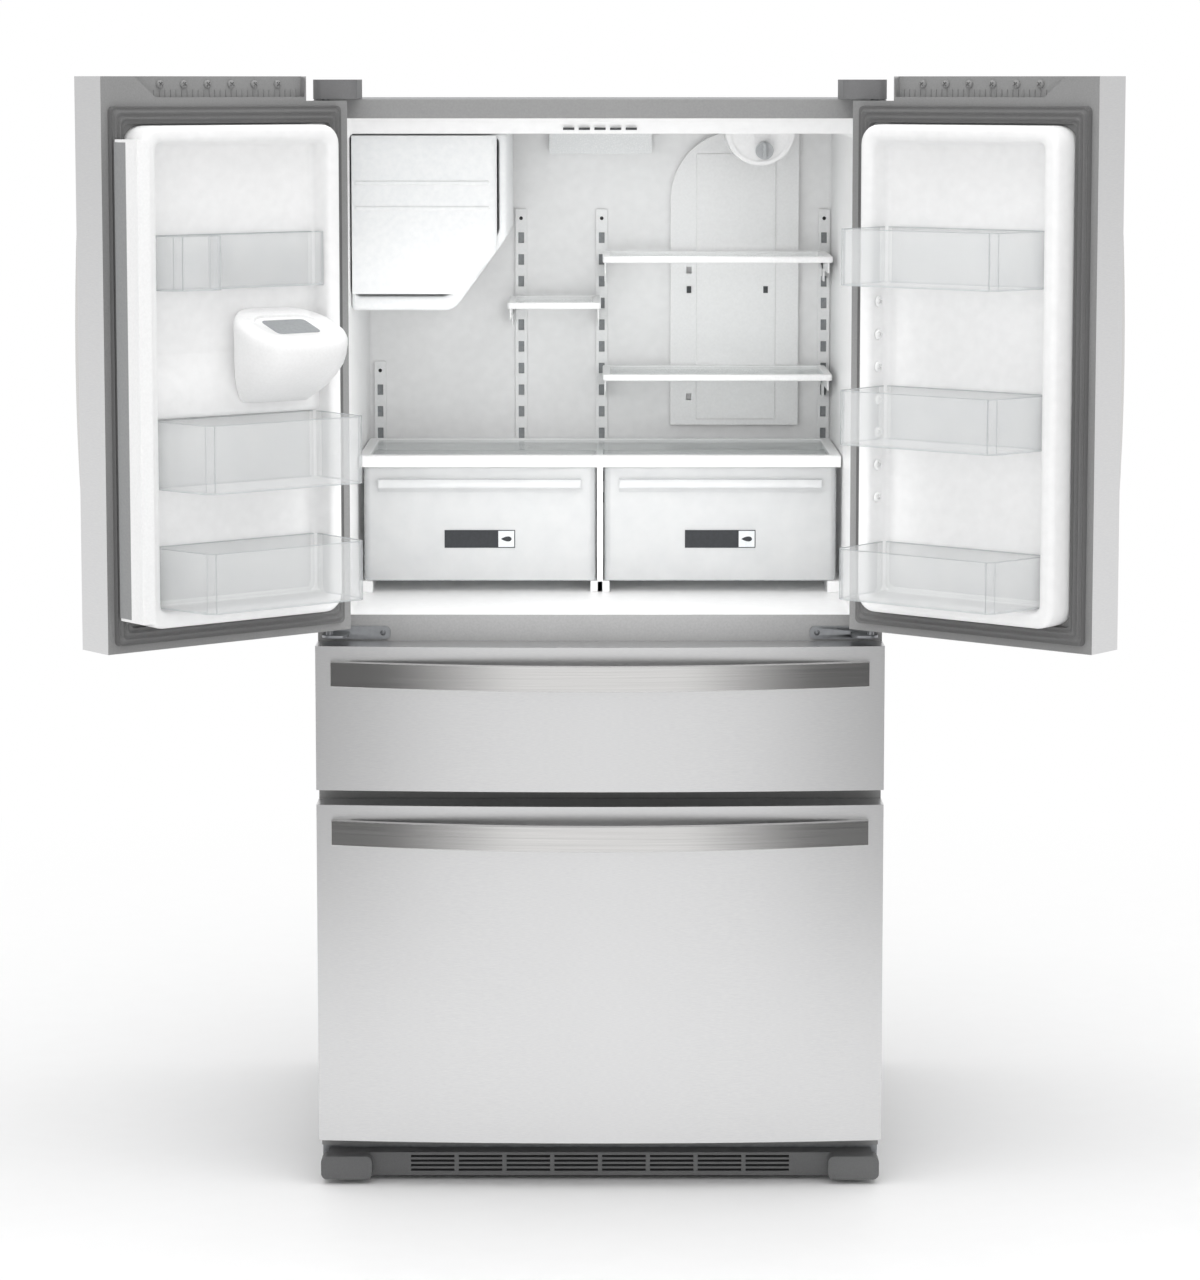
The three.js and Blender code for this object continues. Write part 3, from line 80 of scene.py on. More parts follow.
def grained(name, dark, light, rough, grain, relief, cloud=0.6, **shader):
    """A finish that follows level: a fine noise plus cloud times a broad one, stretched so that
    their usual span runs from 0 to 1. Colour goes from dark to light with level, and roughness
    from one end of rough to the other. The fine noise raises the surface by relief metres. grain
    is its count of grains to the metre along x, y and z."""
    usual_low, usual_high, patches_to_metre = 0.32, 0.68, 3.0
    material = bpy.data.materials.new(name)
    material.use_nodes = True
    material.node_tree.nodes.clear()
    place = add(material, "ShaderNodeTexCoord").outputs["Object"]
    spread = add(material, "ShaderNodeMapping", Vector=place, Scale=grain).outputs["Vector"]
    noise = add(material, "ShaderNodeTexNoise", Vector=spread, Scale=1.0, Detail=4.0)
    broad = add(material, "ShaderNodeTexNoise", Vector=place, Scale=patches_to_metre, Detail=2.0)
    both = add(material, "ShaderNodeMath", {"operation": "MULTIPLY_ADD"},
               {0: broad.outputs["Fac"], 1: cloud, 2: noise.outputs["Fac"]})
    level = add(material, "ShaderNodeMapRange", Value=both.outputs["Value"],
                From_Min=usual_low * (1 + cloud), From_Max=usual_high * (1 + cloud))
    level = level.outputs["Result"]
    color = add(material, "ShaderNodeMix", {"data_type": "RGBA"},
                {0: level, 6: srgb(dark), 7: srgb(light)})
    gloss = add(material, "ShaderNodeMapRange", Value=level, To_Min=rough[0], To_Max=rough[1])
    bump = add(material, "ShaderNodeBump", Height=noise.outputs["Fac"], Distance=relief,
               Strength=1.0)
    surface = add(material, "ShaderNodeBsdfPrincipled", Base_Color=color.outputs[2],
                  Roughness=gloss.outputs["Result"], Normal=bump.outputs["Normal"], **shader)
    add(material, "ShaderNodeOutputMaterial", Surface=surface.outputs["BSDF"])
    return material


def merged_copy(node, flat, most_corners=None):
    """A copy of a CAD node's mesh, its loose triangles merged and joined where they lie within
    flat degrees of one plane. A face with more than most_corners is cut into triangles."""
    mesh = frame["nodes"][node].data.copy()
    shape = bmesh.new()
    shape.from_mesh(mesh)
    bmesh.ops.remove_doubles(shape, verts=shape.verts, dist=2e-5)
    bmesh.ops.dissolve_limit(shape, angle_limit=radians(flat), verts=shape.verts,
                             edges=shape.edges)
    if most_corners:
        many = [face for face in shape.faces if len(face.verts) > most_corners]
        bmesh.ops.triangulate(shape, faces=many, ngon_method="EAR_CLIP")
    shape.to_mesh(mesh)
    shape.free()
    mesh.materials.clear()
    return mesh


def placed(name, mesh, body):
    """Puts a mesh into the scene as a piece of a body."""
    piece = bpy.data.objects.new(name, mesh)
    bpy.context.scene.collection.objects.link(piece)
    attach(piece, body)
    return piece


def creased(mesh, materials, sharp):
    """Gives a mesh its materials and smooth faces, with a crease past sharp degrees."""
    for material in materials:
        mesh.materials.append(material)
    mesh.shade_smooth()
    mesh.set_sharp_from_angle(angle=radians(sharp))


def rounded(piece, radius, steps):
    """Rounds a piece's edges that turn by more than 40 degrees to a radius in metres."""
    rounding = piece.modifiers.new("rounded edges", "BEVEL")
    rounding.width = radius
    rounding.segments = steps
    rounding.limit_method = "ANGLE"
    rounding.angle_limit = radians(40)
    rounding.harden_normals = True


body_of_node = {
    node: body
    for body, nodes in frame["record"]["behaviour"]["bodies"].items()
    for node in nodes
}


def finished(node, material, edge, steps=2):
    """Stands in for a CAD node: its merged copy, with edges rounded to a radius in metres."""
    mesh = merged_copy(node, 0.4, 4)
    creased(mesh, [material], 40)
    piece = placed(node + "_finished", mesh, body_of_node[node])
    rounded(piece, edge, steps)
    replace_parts(piece, node)
    return piece


# Polyester paint, sprayed and baked over steel. Its pebbles are 1.1 mm apart, and they give the
# gray a broad, dull sheen.
case_paint = grained("case paint", "#7e7f81", "#88898b", (0.42, 0.55), (900, 900, 900), 0.00012)
folded_edge = 0.0004
finished("outer_shell", case_paint, folded_edge, 1)
finished("back_panel", case_paint, folded_edge, 1)
for slot in frame["nodes"]["machine_cover"].material_slots:
    slot.material = case_paint

# ------------------------------------------------------------------ front frame and liners
# A painted steel frame closes the front of the case round three white liners. Each liner is
# formed under vacuum from one sheet of gloss plastic.

# Gray enamel on rolled steel: 3 mm ripples, too low to see except in a highlight.
frame_paint = grained("frame paint", "#8e8e8e", "#989898", (0.35, 0.45), (300, 300, 300), 0.00003)
finished("front_frame", frame_paint, 0.0008)

# High impact polystyrene, vacuum formed: white and half gloss, with the slow 17 mm waves that
# forming leaves.
liner_white = grained("white liner plastic", "#f1f1f1", "#f8f8f8", (0.28, 0.38), (60, 60, 60),
                      0.00006, Specular_IOR_Level=0.45)
for node in ("pantry_liner", "freezer_liner"):
    finished(node, liner_white, 0.006, 3)


def add_piece(name, points, faces, materials, body, sharp=32):
    """Puts points and faces into a piece, its doubles merged and its faces turned outwards."""
    mesh = bpy.data.meshes.new(name)
    mesh.from_pydata(np.asarray(points, dtype=float).tolist(), [], faces)
    shape = bmesh.new()
    shape.from_mesh(mesh)
    bmesh.ops.remove_doubles(shape, verts=shape.verts, dist=1e-6)
    bmesh.ops.recalc_face_normals(shape, faces=shape.faces)
    shape.to_mesh(mesh)
    shape.free()
    creased(mesh, materials, sharp)
    return placed(name, mesh, body)


def lofted(rings):
    """Faces between rings of equal count, each ring joined to the next, with both ends capped."""
    count, around = len(rings), len(rings[0])
    i, j = np.meshgrid(np.arange(count - 1), np.arange(around), indexing="ij")
    k = (j + 1) % around
    quads = np.stack([i * around + j, i * around + k, (i + 1) * around + k,
                      (i + 1) * around + j], -1).reshape(-1, 4)
    last = (count - 1) * around + np.arange(around)
    return quads.tolist() + [np.arange(around)[::-1].tolist(), last.tolist()]


def nested(rows, corner_steps=6):
    """Points and faces of a closed form made of rounded rectangles in a row. A row is p0, p1, q0,
    q1, radius and depth. Each corner is a quarter circle of its radius about a centre that far in
    from both edges. The first and last rows are capped."""
    p0, p1, q0, q1, radius, depth = (column[:, None] for column in np.array(rows, dtype=float).T)
    quarter = np.linspace(0, pi / 2, corner_steps)
    turn = np.concatenate([quarter + k * pi / 2 for k in range(4)])
    sign_p = np.repeat([1, -1, -1, 1], corner_steps)
    sign_q = np.repeat([1, 1, -1, -1], corner_steps)
    p = (p0 + p1) / 2 + sign_p * ((p1 - p0) / 2 - radius) + radius * np.cos(turn)
    q = (q0 + q1) / 2 + sign_q * ((q1 - q0) / 2 - radius) + radius * np.sin(turn)
    points = np.stack([p, q, depth + 0 * p], -1)
    return points.reshape(-1, 3), lofted(points)


def fillet(count=5):
    """Shares of a quarter circle at angle a: sine of a along, and one minus its cosine out."""
    a = np.linspace(0, pi / 2, count)
    return np.stack([np.sin(a), 1 - np.cos(a)], -1)


def eased(share):
    """A soft step from 0 to 1: three times the share squared less twice its cube."""
    return share * share * (3 - 2 * share)


low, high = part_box("fresh_food_liner")
wall, tight, corner, bend = 0.003, 0.004, 0.010, 0.007
outer = [low[0], high[0], low[2], high[2]]
inner = [low[0] + wall, high[0] - wall, low[2] + wall, high[2] - wall]
front, back = low[1], high[1] - wall
# The ceiling drops behind a lip 60 mm in, to just over the duct's cover. The step is 20 mm long.
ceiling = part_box("air_duct_cover")[1][2] + 0.002
lip, half_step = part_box("front_frame")[0][1] + 0.060, 0.010
rows = [[*outer, tight, high[1]], [*outer, tight, front], [*inner, tight, front],
        [*inner, 2 * tight, front + 0.012], [*inner, corner, lip - half_step]]
rows += [[*inner[:3], inner[3] - (inner[3] - ceiling) * eased(share), corner,
          lip - half_step + 2 * half_step * share] for share in (0.25, 0.5, 0.75, 1.0)]
rows += [[inner[0] + bend * out, inner[1] - bend * out, inner[2] + bend * out,
          ceiling - bend * out, corner, back - bend + bend * along] for along, out in fillet()]
points, faces = nested(rows)
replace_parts(add_piece("fresh_food_compartment", points[:, [0, 2, 1]], faces, [liner_white],
                      "cabinet"), "fresh_food_liner")

# ------------------------------------------------------------------ base
# A moulded kick plate hides the levelling legs and lets air under the case. Behind it a steel
# pan carries the legs, the rollers in their forks and, at the back, the compressor.


def plate(name, x, y, z, material, body, edge=0.0006, turn=None):
    """A flat bar between two values of x, y and z, its edges rounded. turn, a function of points,
    moves it to where an open door holds it."""
    grid = np.stack(np.meshgrid(x, y, z, indexing="ij"), -1).reshape(-1, 3)
    faces = [(0, 1, 3, 2), (4, 6, 7, 5), (0, 4, 5, 1), (2, 3, 7, 6), (0, 2, 6, 4), (1, 5, 7, 3)]
    piece = add_piece(name, turn(grid) if turn else grid, faces, [material], body, 40)
    rounded(piece, edge, 2)
    return piece


# Moulded polypropylene with a spark-eroded texture of 1.4 mm grains: dark gray and dull.
kick_gray = grained("kick plate plastic", "#5c5c5d", "#696a6a", (0.4, 0.55), (700, 700, 700),
                    0.0001)
# Steel plated with bright zinc: a metal with crystals drawn 11 mm wide, so that they show.
zinc = grained("zinc plated steel", "#8f9194", "#a9abae", (0.3, 0.45), (90, 90, 90), 0.00002,
               Metallic=1.0)
# Black nylon, moulded, with 2.5 mm ripples that scatter its highlight.
roller_black = grained("roller plastic", "#161616", "#222222", (0.45, 0.6), (400, 400, 400),
                       0.00008)
# Black enamel, dipped and baked: 5 mm orange peel under a clear shine.
enamel = grained("black enamel", "#0c0c0d", "#161618", (0.2, 0.3), (200, 200, 200), 0.00003)
# Painted shade behind the kick plate's slots: a near-black, dull sheet with 1.1 mm grains.
grille_slot_shade = grained("grille slot shade", "#0b0b0c", "#151516", (0.7, 0.85), (900, 900, 900), 0.0002)

finished("base_grille", kick_gray, 0.0015, 3)
finished("base_pan", zinc, 0.0006, 1)
finished("compressor", enamel, 0.003, 2)
for side in ("left", "right"):
    finished("level_leg_" + side, zinc, 0.0006, 1)
    finished("rear_roller_" + side, roller_black, 0.002, 2)
low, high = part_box("base_grille")
# The near-black sheet behind the kick plate is painted shade, seen through its slots.
foot_width, shade_back = 0.10, high[1] - 0.0235
plate("grille_shade", (low[0] + foot_width, high[0] - foot_width), (shade_back - 0.0025, shade_back),
      (low[2] + 0.004, high[2] - 0.006), grille_slot_shade, "cabinet", 0.0004)

# ------------------------------------------------------------------ hinges
# Each door turns on two steel pins. The upper arm is screwed to the case under a gray plastic
# cover, and the lower bracket is screwed to the crossbar.

# Moulded polypropylene, textured in 1.4 mm grains, a shade lighter than the kick plate.
cover_gray = grained("hinge cover plastic", "#6d6d6e", "#7a7a7b", (0.4, 0.52), (700, 700, 700),
                     0.00008)


def domed_disc(name, centre, radius, rise, axis, material, body):
    """A round head on an axis: at r, a share of its radius, it stands rise times the square root
    of one minus r squared high, less 0.6 of rise in a cross whose arms lie along x and y."""
    shares, around, cross, arm, skirt = 9, 32, 0.55, 0.12, 0.0006
    r = np.linspace(0, 1, shares)[:, None]
    a = np.linspace(0, 2 * pi, around, endpoint=False)[None, :]
    recess = (r < cross) * (np.minimum(abs(np.sin(a)), abs(np.cos(a))) * r < arm)
    height = rise * np.sqrt(np.clip(1 - r ** 2, 0, 1)) - 0.6 * rise * recess
    dome = np.stack([radius * r * np.cos(a), radius * r * np.sin(a), height], -1)
    rings = np.concatenate([dome[1:], dome[-1:] * [1, 1, 0] - [0, 0, skirt]])
    faces = lofted(rings)
    row = np.arange(around)
    faces[-2:-1] = np.stack([0 * row + rings[..., 0].size, row, np.roll(row, -1)], -1).tolist()
    points = np.concatenate([rings.reshape(-1, 3), dome[:1, 0]])
    turn = Vector((0, 0, 1)).rotation_difference(Vector(axis)).to_matrix()
    return add_piece(name, points @ np.array(turn).T + np.array(centre), faces, [material], body,
                     50)


for side in ("left", "right"):
    finished("hinge_cover_" + side, cover_gray, 0.004, 3)
    finished("upper_hinge_" + side, zinc, 0.0008, 2)
    finished("lower_hinge_" + side, zinc, 0.0008, 2)
    low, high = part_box("lower_hinge_" + side)
    x = low[0] + 0.012 if side == "right" else high[0] - 0.012
    domed_disc("lower_hinge_screw_" + side, (x, high[1] - 0.003, low[2] + 0.0105), 0.0045, 0.002,
               (0, -1, 0), zinc, "cabinet")

# ------------------------------------------------------------------ shelf tracks
# Four steel tracks, enamelled white, are screwed to the rear wall. Their slots take the shelves'
# hooks, and show gray shade behind them.

# White enamel on steel: 5 mm orange peel, very low, so its highlights stay smooth.
track_white = grained("track enamel", "#f0f1f1", "#f8f8f8", (0.3, 0.4), (200, 200, 200), 0.00002)
# Painted shade at the back of a slot: gray, dull, and uneven over 5 mm.
slot_shadow = grained("slot shade", "#8d9092", "#a0a3a5", (0.5, 0.6), (200, 200, 200), 0.00002)
# Black oxide on steel: nearly black, with a worn gloss in 3 mm patches.
black_head = grained("screw head", "#151515", "#242424", (0.3, 0.5), (300, 300, 300), 0.00002)

for node in ("shelf_track_far_left", "shelf_track_left", "shelf_track_middle",
             "shelf_track_right"):
    finished(node, track_white, 0.0006, 2)
    low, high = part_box(node)
    middle, half_slot = (low[0] + high[0]) / 2, 0.008
    # Behind each track's slot lies a gray sheet of painted shade.
    plate(node + "_slot_shade", (middle - half_slot, middle + half_slot),
          (high[1] - 0.0006, high[1] + 0.0002), (low[2] + 0.012, high[2] - 0.03), slot_shadow,
          "cabinet", 0.0001)
    domed_disc(node + "_screw", (middle, low[1], high[2] - 0.016), 0.0032, 0.0016, (0, -1, 0),
               black_head, "cabinet")

# ------------------------------------------------------------------ shelves
# Each shelf is a pane of tempered glass moulded into a white plastic frame. A white bracket
# carries it at each end, and hooks into the tracks by its heel.

# Tempered float glass: clear, faintly green, and flat but for 125 mm waves.
shelf_glass = grained("shelf glass", "#e2ecea", "#eef4f3", (0.03, 0.06), (8, 8, 8), 0.000005,
                      Alpha=0.32, Specular_IOR_Level=0.6)
# Moulded ABS, satin white: 4 mm ripples that only soften its highlights.
frame_white = grained("white moulded plastic", "#f0f0f0", "#f8f8f8", (0.3, 0.4), (250, 250, 250),
                      0.00004)


def looped(points):
    """Faces of a grid of points that closes on itself both ways, such as a section carried round
    a frame."""
    count, section = points.shape[:2]
    i, j = np.meshgrid(np.arange(count), np.arange(section), indexing="ij")
    k, m = (i + 1) % count, (j + 1) % section
    quads = np.stack([i * section + j, k * section + j, k * section + m, i * section + m], -1)
    return quads.reshape(-1, 4).tolist()


def ring(name, x, y, z, width, material, body):
    """A frame: a bar carried round a rectangle with round corners. The bar's section is a
    superellipse, half its size times the sine or cosine of an angle to the power 0.35."""
    stations, sides, corner, power = 48, 16, 0.006, 0.35
    turns = np.linspace(0, 2 * pi, stations, endpoint=False) + pi / stations
    out = np.stack([np.cos(turns), np.sin(turns)], -1)
    middle = np.array([x[0] + x[1], y[0] + y[1]]) / 2
    reach = np.array([x[1] - x[0], y[1] - y[0]]) / 2 - corner
    around = np.linspace(0, 2 * pi, sides, endpoint=False)
    half_w, half_h = width / 2, (z[1] - z[0]) / 2
    across = half_w * np.sign(np.cos(around)) * abs(np.cos(around)) ** power - half_w
    rise = half_h * np.sign(np.sin(around)) * abs(np.sin(around)) ** power + half_h + z[0]
    flat = (middle + reach * np.sign(out) + corner * out)[:, None, :]
    flat = flat + np.sign(out)[:, None, :] * across[None, :, None]
    points = np.concatenate([flat, np.tile(rise[None, :, None], (stations, 1, 1))], -1)
    return add_piece(name, points.reshape(-1, 3), looped(points), [material], body, 35)


thick, bracket = 0.011, 0.003
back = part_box("air_duct_cover")[0][1] - 0.002
for node in ("upper_shelf", "lower_shelf", "half_shelf"):
    low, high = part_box(node)
    top, rear = high[2], high[1] - 0.006
    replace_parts(plate(node + "_pane", (low[0] + 0.004, high[0] - 0.004),
                      (low[1] + 0.004, back - 0.004), (top - 0.0065, top - 0.0025), shelf_glass,
                      "cabinet"), node)
    ring(node + "_frame", (low[0], high[0]), (low[1], back), (top - thick, top), 0.013,
         frame_white, "cabinet")
    for end, x in (("left", low[0] + bracket), ("right", high[0] - 2 * bracket)):
        plate(f"{node}_bracket_{end}", (x, x + bracket), (low[1] + 0.05, rear),
              (top - thick - 0.02, top - thick + 0.004), frame_white, "cabinet")
        plate(f"{node}_heel_{end}", (x, x + bracket), (rear - 0.045, rear),
              (low[2], top - thick), frame_white, "cabinet")

# ------------------------------------------------------------------ crispers
# A glass shelf with a white trim roofs two clear bins, moulded in polystyrene. Each bin slides on
# two ledges by a lip on its front, which also carries a dark picture label with no writing.

# Clear polystyrene over a pale bin: milky from within, glossy, with 33 mm waves.
clear_plastic = grained("clear crisper plastic", "#f1f2f3", "#f8f9f9", (0.1, 0.18), (30, 30, 30),
                        0.00002, 0.2, Alpha=0.5, Specular_IOR_Level=0.6)
# Painted shade along the same plastic's edges, where light runs through its thickness: grayer and less clear.
clear_edge_shade = grained("clear plastic edge shade", "#bfc4c6", "#cfd3d5", (0.1, 0.16), (60, 60, 60), 0.00001,
                     Alpha=0.7, Specular_IOR_Level=0.7)


def edged(node):
    """Painted shade along the edges of a clear moulding: a 1.6 mm bar along each edge."""
    mesh = merged_copy(node, 12)
    mesh.materials.append(clear_edge_shade)
    piece = placed(node + "_edges", mesh, body_of_node[node])
    bars = piece.modifiers.new("edge bars", "WIREFRAME")
    bars.thickness = 0.0016
    bars.offset = -1
    bars.use_even_offset = False


low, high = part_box("crisper_cover")
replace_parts(plate("crisper_pane", (low[0] + 0.01, high[0] - 0.01), (low[1] + 0.008, high[1]),
                  (high[2] - 0.006, high[2] - 0.002), shelf_glass, "cabinet"),
            "crisper_cover")
ring("crisper_cover_frame", (low[0], high[0]), (low[1], high[1]), (high[2] - 0.009, high[2]), 0.018,
     frame_white, "cabinet")
plate("crisper_cover_trim", (low[0], high[0]), (low[1] - 0.001, low[1] + 0.005),
      (high[2] - 0.02, high[2] - 0.001), frame_white, "cabinet", 0.0015)
for name, half, top in (("crisper_post", 0.005, high[2] - 0.008),
                        ("crisper_foot", 0.016, low[2] + 0.0186)):
    plate(name, (-half, half), (low[1] + 0.004, high[1]), (low[2], top), frame_white, "cabinet",
          0.001)

liner_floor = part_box("fresh_food_liner")[0][2] + wall
for side, sign in (("left", -1), ("right", 1)):
    low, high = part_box("crisper_" + side)
    plate("crisper_ledge_" + side, sorted((sign * 0.380, sign * 0.4052)), (low[1] + 0.006, high[1]),
          (liner_floor - 0.0005, low[2] - 0.0004), liner_white, "cabinet", 0.002)

# Printed polyester film: a dark, even satin.
label_dark = grained("label film", "#2b2d30", "#34363a", (0.3, 0.4), (200, 200, 200), 0.00001)
# The same film where it is printed pale.
label_mark = grained("label mark", "#d9dcde", "#e6e8ea", (0.35, 0.45), (200, 200, 200), 0.00001)
around = np.linspace(0, 2 * pi, 40, endpoint=False)
for side in ("left", "right"):
    node, body = "crisper_" + side, side + "_crisper"
    finished(node, clear_plastic, 0.0012, 2)
    edged(node)
    low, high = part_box(node)
    # The front's face is 14 mm behind its lip, and the label's lower edge 136 mm under its top.
    face, middle, foot = low[1] + 0.014, (low[0] + high[0]) / 2, high[2] - 0.136
    half_label, label_tall = 0.059, 0.030
    plate(node + "_label", (middle - half_label, middle + half_label),
          (face - 0.0007, face - 0.0001), (foot, foot + label_tall), label_dark, body,
          0.0002)
    plate(node + "_label_field", (middle + 0.031, middle + 0.0575), (face - 0.0010, face - 0.0006),
          (foot + 0.0015, foot + 0.0285), label_mark, body, 0.0001)
    # The leaf is 18 mm long. Its half width is 5.5 mm times sin(a) times |cos(a / 2)|, so that
    # one end is a point.
    leaf = np.stack([middle + 0.0442 + 0.009 * np.cos(around), 0 * around + face - 0.0012,
                     foot + label_tall / 2
                     + 0.0055 * np.sin(around) * abs(np.cos(around / 2))], -1)
    rings = np.stack([leaf, leaf + [0, 0.0004, 0]])
    add_piece(node + "_label_leaf", rings.reshape(-1, 3), lofted(rings), [label_dark], body)

# ------------------------------------------------------------------ rear wall and ceiling
# The cold air duct has a moulded cover with small outlets. A round filter housing hangs from the
# ceiling, a lamp lens sits at the top of the wall, and the ice maker fills the top left corner.

# Moulded acetal, gray and satin, so that the knob stands out from the housing.
knob_gray = grained("knob plastic", "#a8abad", "#b8babc", (0.3, 0.4), (300, 300, 300), 0.00003)
# Polycarbonate moulded with a 2.5 mm diffusing texture: bright, and soft in its highlights.
lens_white = grained("lamp lens", "#e9ebec", "#f4f5f5", (0.2, 0.3), (400, 400, 400), 0.0001)
# The inside of an air outlet, in shade: dark gray and dull.
outlet_dark = grained("outlet shadow", "#3c3e40", "#4a4c4e", (0.5, 0.6), (300, 300, 300), 0.00002)
# Moulded polystyrene, satin white, with 8 mm ripples in its larger faces.
ice_white = grained("ice maker plastic", "#e8eaeb", "#f1f2f2", (0.3, 0.42), (120, 120, 120),
                    0.00005)

for node, material, edge in (("air_duct_cover", frame_white, 0.005),
                             ("filter_housing", frame_white, 0.008),
                             ("filter_knob", knob_gray, 0.002), ("rear_lamp", lens_white, 0.003)):
    finished(node, material, edge, 3)
low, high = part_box("air_duct_cover")
plate("air_duct_panel", (low[0] + 0.045, high[0] - 0.04), (low[1] - 0.0025, low[1] + 0.001),
      (low[2] + 0.01, high[2] - 0.04), frame_white, "cabinet", 0.0022)
half_outlet, outlet_tall = 0.004, 0.012
height = low[2] + (high[2] - low[2]) * 0.45
for count, x in enumerate((low[0] + 0.0325, high[0] - 0.0575)):
    plate(f"air_duct_outlet_{count}", (x - half_outlet, x + half_outlet),
          (low[1] - 0.0032, low[1]), (height, height + outlet_tall), outlet_dark, "cabinet",
          0.0005)

# Two half rings stand 2.2 mm proud of the housing's recessed face, about a hub at the ceiling.
low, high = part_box("filter_housing")
hub = np.array([(low[0] + high[0]) / 2, low[1] + 0.010, high[2] - 0.0012])
a = np.linspace(pi, 2 * pi, 49)[:, None]
proud = 0.0022
for count, (inside, outside) in enumerate(((0.0495, 0.0525), (0.012, 0.016))):
    radius = np.array([[inside, inside, outside, outside]])
    lift = np.array([[0.0, -proud, -proud, 0.0]])
    sweep = hub + np.stack([radius * np.cos(a), lift + 0 * a, radius * np.sin(a)], -1)
    add_piece(f"filter_ring_{count}", sweep.reshape(-1, 3), lofted(sweep), [frame_white],
              "cabinet")
half_vent = 0.009
for count, x in enumerate(np.linspace(-0.05, 0.05, 5)):
    plate(f"ceiling_vent_{count}", (x - half_vent, x + half_vent), (lip - 0.0035, lip - 0.0015),
          (ceiling + 0.006, ceiling + 0.010), outlet_dark, "cabinet", 0.0004)


def polygon_ring(corners, radii, steps=6):
    """A closed outline with rounded corners. Each corner's arc touches both of its sides, and its
    points turn evenly from one touching point to the other about the arc's centre."""
    c = np.array(corners, dtype=float)
    r = np.array(radii, dtype=float)[:, None]
    to_last = np.roll(c, 1, 0) - c
    to_next = np.roll(c, -1, 0) - c
    to_last /= np.linalg.norm(to_last, axis=1, keepdims=True)
    to_next /= np.linalg.norm(to_next, axis=1, keepdims=True)
    half = np.arccos(np.clip((to_last * to_next).sum(1), -1, 1))[:, None] / 2
    middle = to_last + to_next
    middle /= np.linalg.norm(middle, axis=1, keepdims=True)
    centre = c + middle * r / np.sin(half)
    start = c + to_last * r / np.tan(half) - centre
    end = c + to_next * r / np.tan(half) - centre
    sweep = (pi - 2 * half)[:, None]
    t = np.linspace(0, 1, steps)[None, :, None]
    arc = (np.sin((1 - t) * sweep) * start[:, None] + np.sin(t * sweep) * end[:, None])
    return (centre[:, None] + arc / np.sin(sweep)).reshape(-1, 2)


# The housing is a shell with one slanted corner. Its rings run along the outside to the front,
# round the rim by shares of the way inwards, and back along the inside.
low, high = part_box("ice_box")
left, right, foot, head = low[0], high[0], low[2], high[2]
outside = np.array([[left, foot], [right - 0.087, foot], [right, foot + 0.120], [right, head],
                    [left, head]])
inside = np.array([[left + 0.007, foot + 0.024], [right - 0.097, foot + 0.024],
                   [right - 0.014, foot + 0.128], [right - 0.014, head - 0.008],
                   [left + 0.007, head - 0.008]])
rings = []
for depth, blend, slanted, square in (
        (high[1], 0.0, 30, 5), (low[1] + 0.010, 0.0, 30, 5), (low[1] + 0.003, 0.15, 29, 5),
        (low[1], 0.5, 28, 6), (low[1], 0.85, 26, 8), (low[1] + 0.004, 1.0, 24, 8),
        (high[1] - 0.010, 1.0, 24, 8)):
    radii = np.array([8, slanted, slanted, square, square]) / 1000
    x, z = polygon_ring(outside + (inside - outside) * blend, radii).T
    rings.append(np.stack([x, 0 * x + depth, z], -1))
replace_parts(add_piece("ice_box_housing", np.concatenate(rings), lofted(rings), [ice_white],
                      "cabinet", 50), "ice_box")
finished("ice_box_door", ice_white, 0.007, 4)
low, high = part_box("ice_box_door")
for count, share in enumerate((0.69, 0.53)):
    z = low[2] + share * (high[2] - low[2])
    plate(f"ice_box_door_rib_{count}", (low[0] + 0.006, high[0] - 0.012),
          (low[1] - 0.0022, low[1] + 0.001), (z, z + 0.006), ice_white, "ice_door",
          0.0018)

# ------------------------------------------------------------------ doors
# A door is a steel skin, brushed on its front and painted gray round its inner face, with gray end
# caps. Its white liner has a raised rim, and a ribbed magnetic gasket runs between rim and edge.

# Stainless steel brushed along x under a clear coat. The scratches are 0.1 mm apart, drawn 0.7 mm
# apart to show: they pull its highlights into a vertical haze.
brushed = grained("brushed stainless", "#d4d4d5", "#dcdcdc", (0.28, 0.295), (110, 110, 1500),
                  0.000001, 0.1, Metallic=1.0)
# Gray enamel on the skin's returns, satin, with 2.5 mm orange peel.
door_gray = grained("door edge paint", "#868686", "#909090", (0.38, 0.5), (400, 400, 400), 0.00004)
# Extruded soft vinyl, dull and darker than the paint, with 2 mm unevenness.
gasket_gray = grained("gasket vinyl", "#636363", "#6f6f6f", (0.5, 0.62), (500, 500, 500), 0.00005)
# Steel bar brushed along its length, and smoother than the doors: its bow mirrors dark at both
# ends. The first is for a bar that lies along x, and the second for one that stands.
bar_metal, upright_metal = (
    grained(name, "#cbcac9", "#dbdad9", (0.15, 0.2), grain, 0.000001, 0.1, Metallic=1.0)
    for name, grain in (("satin bar metal", (4, 4, 1500)),
                        ("satin upright bar metal", (1500, 1500, 4))))
# Clear moulded polystyrene, thin and glossy, with 33 mm waves that bend what lies behind.
bin_clear = grained("clear bin plastic", "#eff1f2", "#f7f8f8", (0.08, 0.14), (30, 30, 30),
                    0.00002, 0.2, Alpha=0.26, Specular_IOR_Level=0.7)
pins = {joint["name"]: joint for joint in frame["joints"]}
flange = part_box("front_frame")[0][1]
OPEN = radians(141)


def swing(points, side, angle):
    """Turns points about a door's pin: x and y are rotated by the angle, signed for the side."""
    pin = np.array(pins[side + "_door"]["pos_m"][:2])
    turn = angle if side == "right" else -angle
    rotate = np.array([[np.cos(turn), -np.sin(turn)], [np.sin(turn), np.cos(turn)]])
    flat = (points[:, :2] - pin) @ rotate.T + pin
    return np.concatenate([flat, points[:, 2:]], 1)


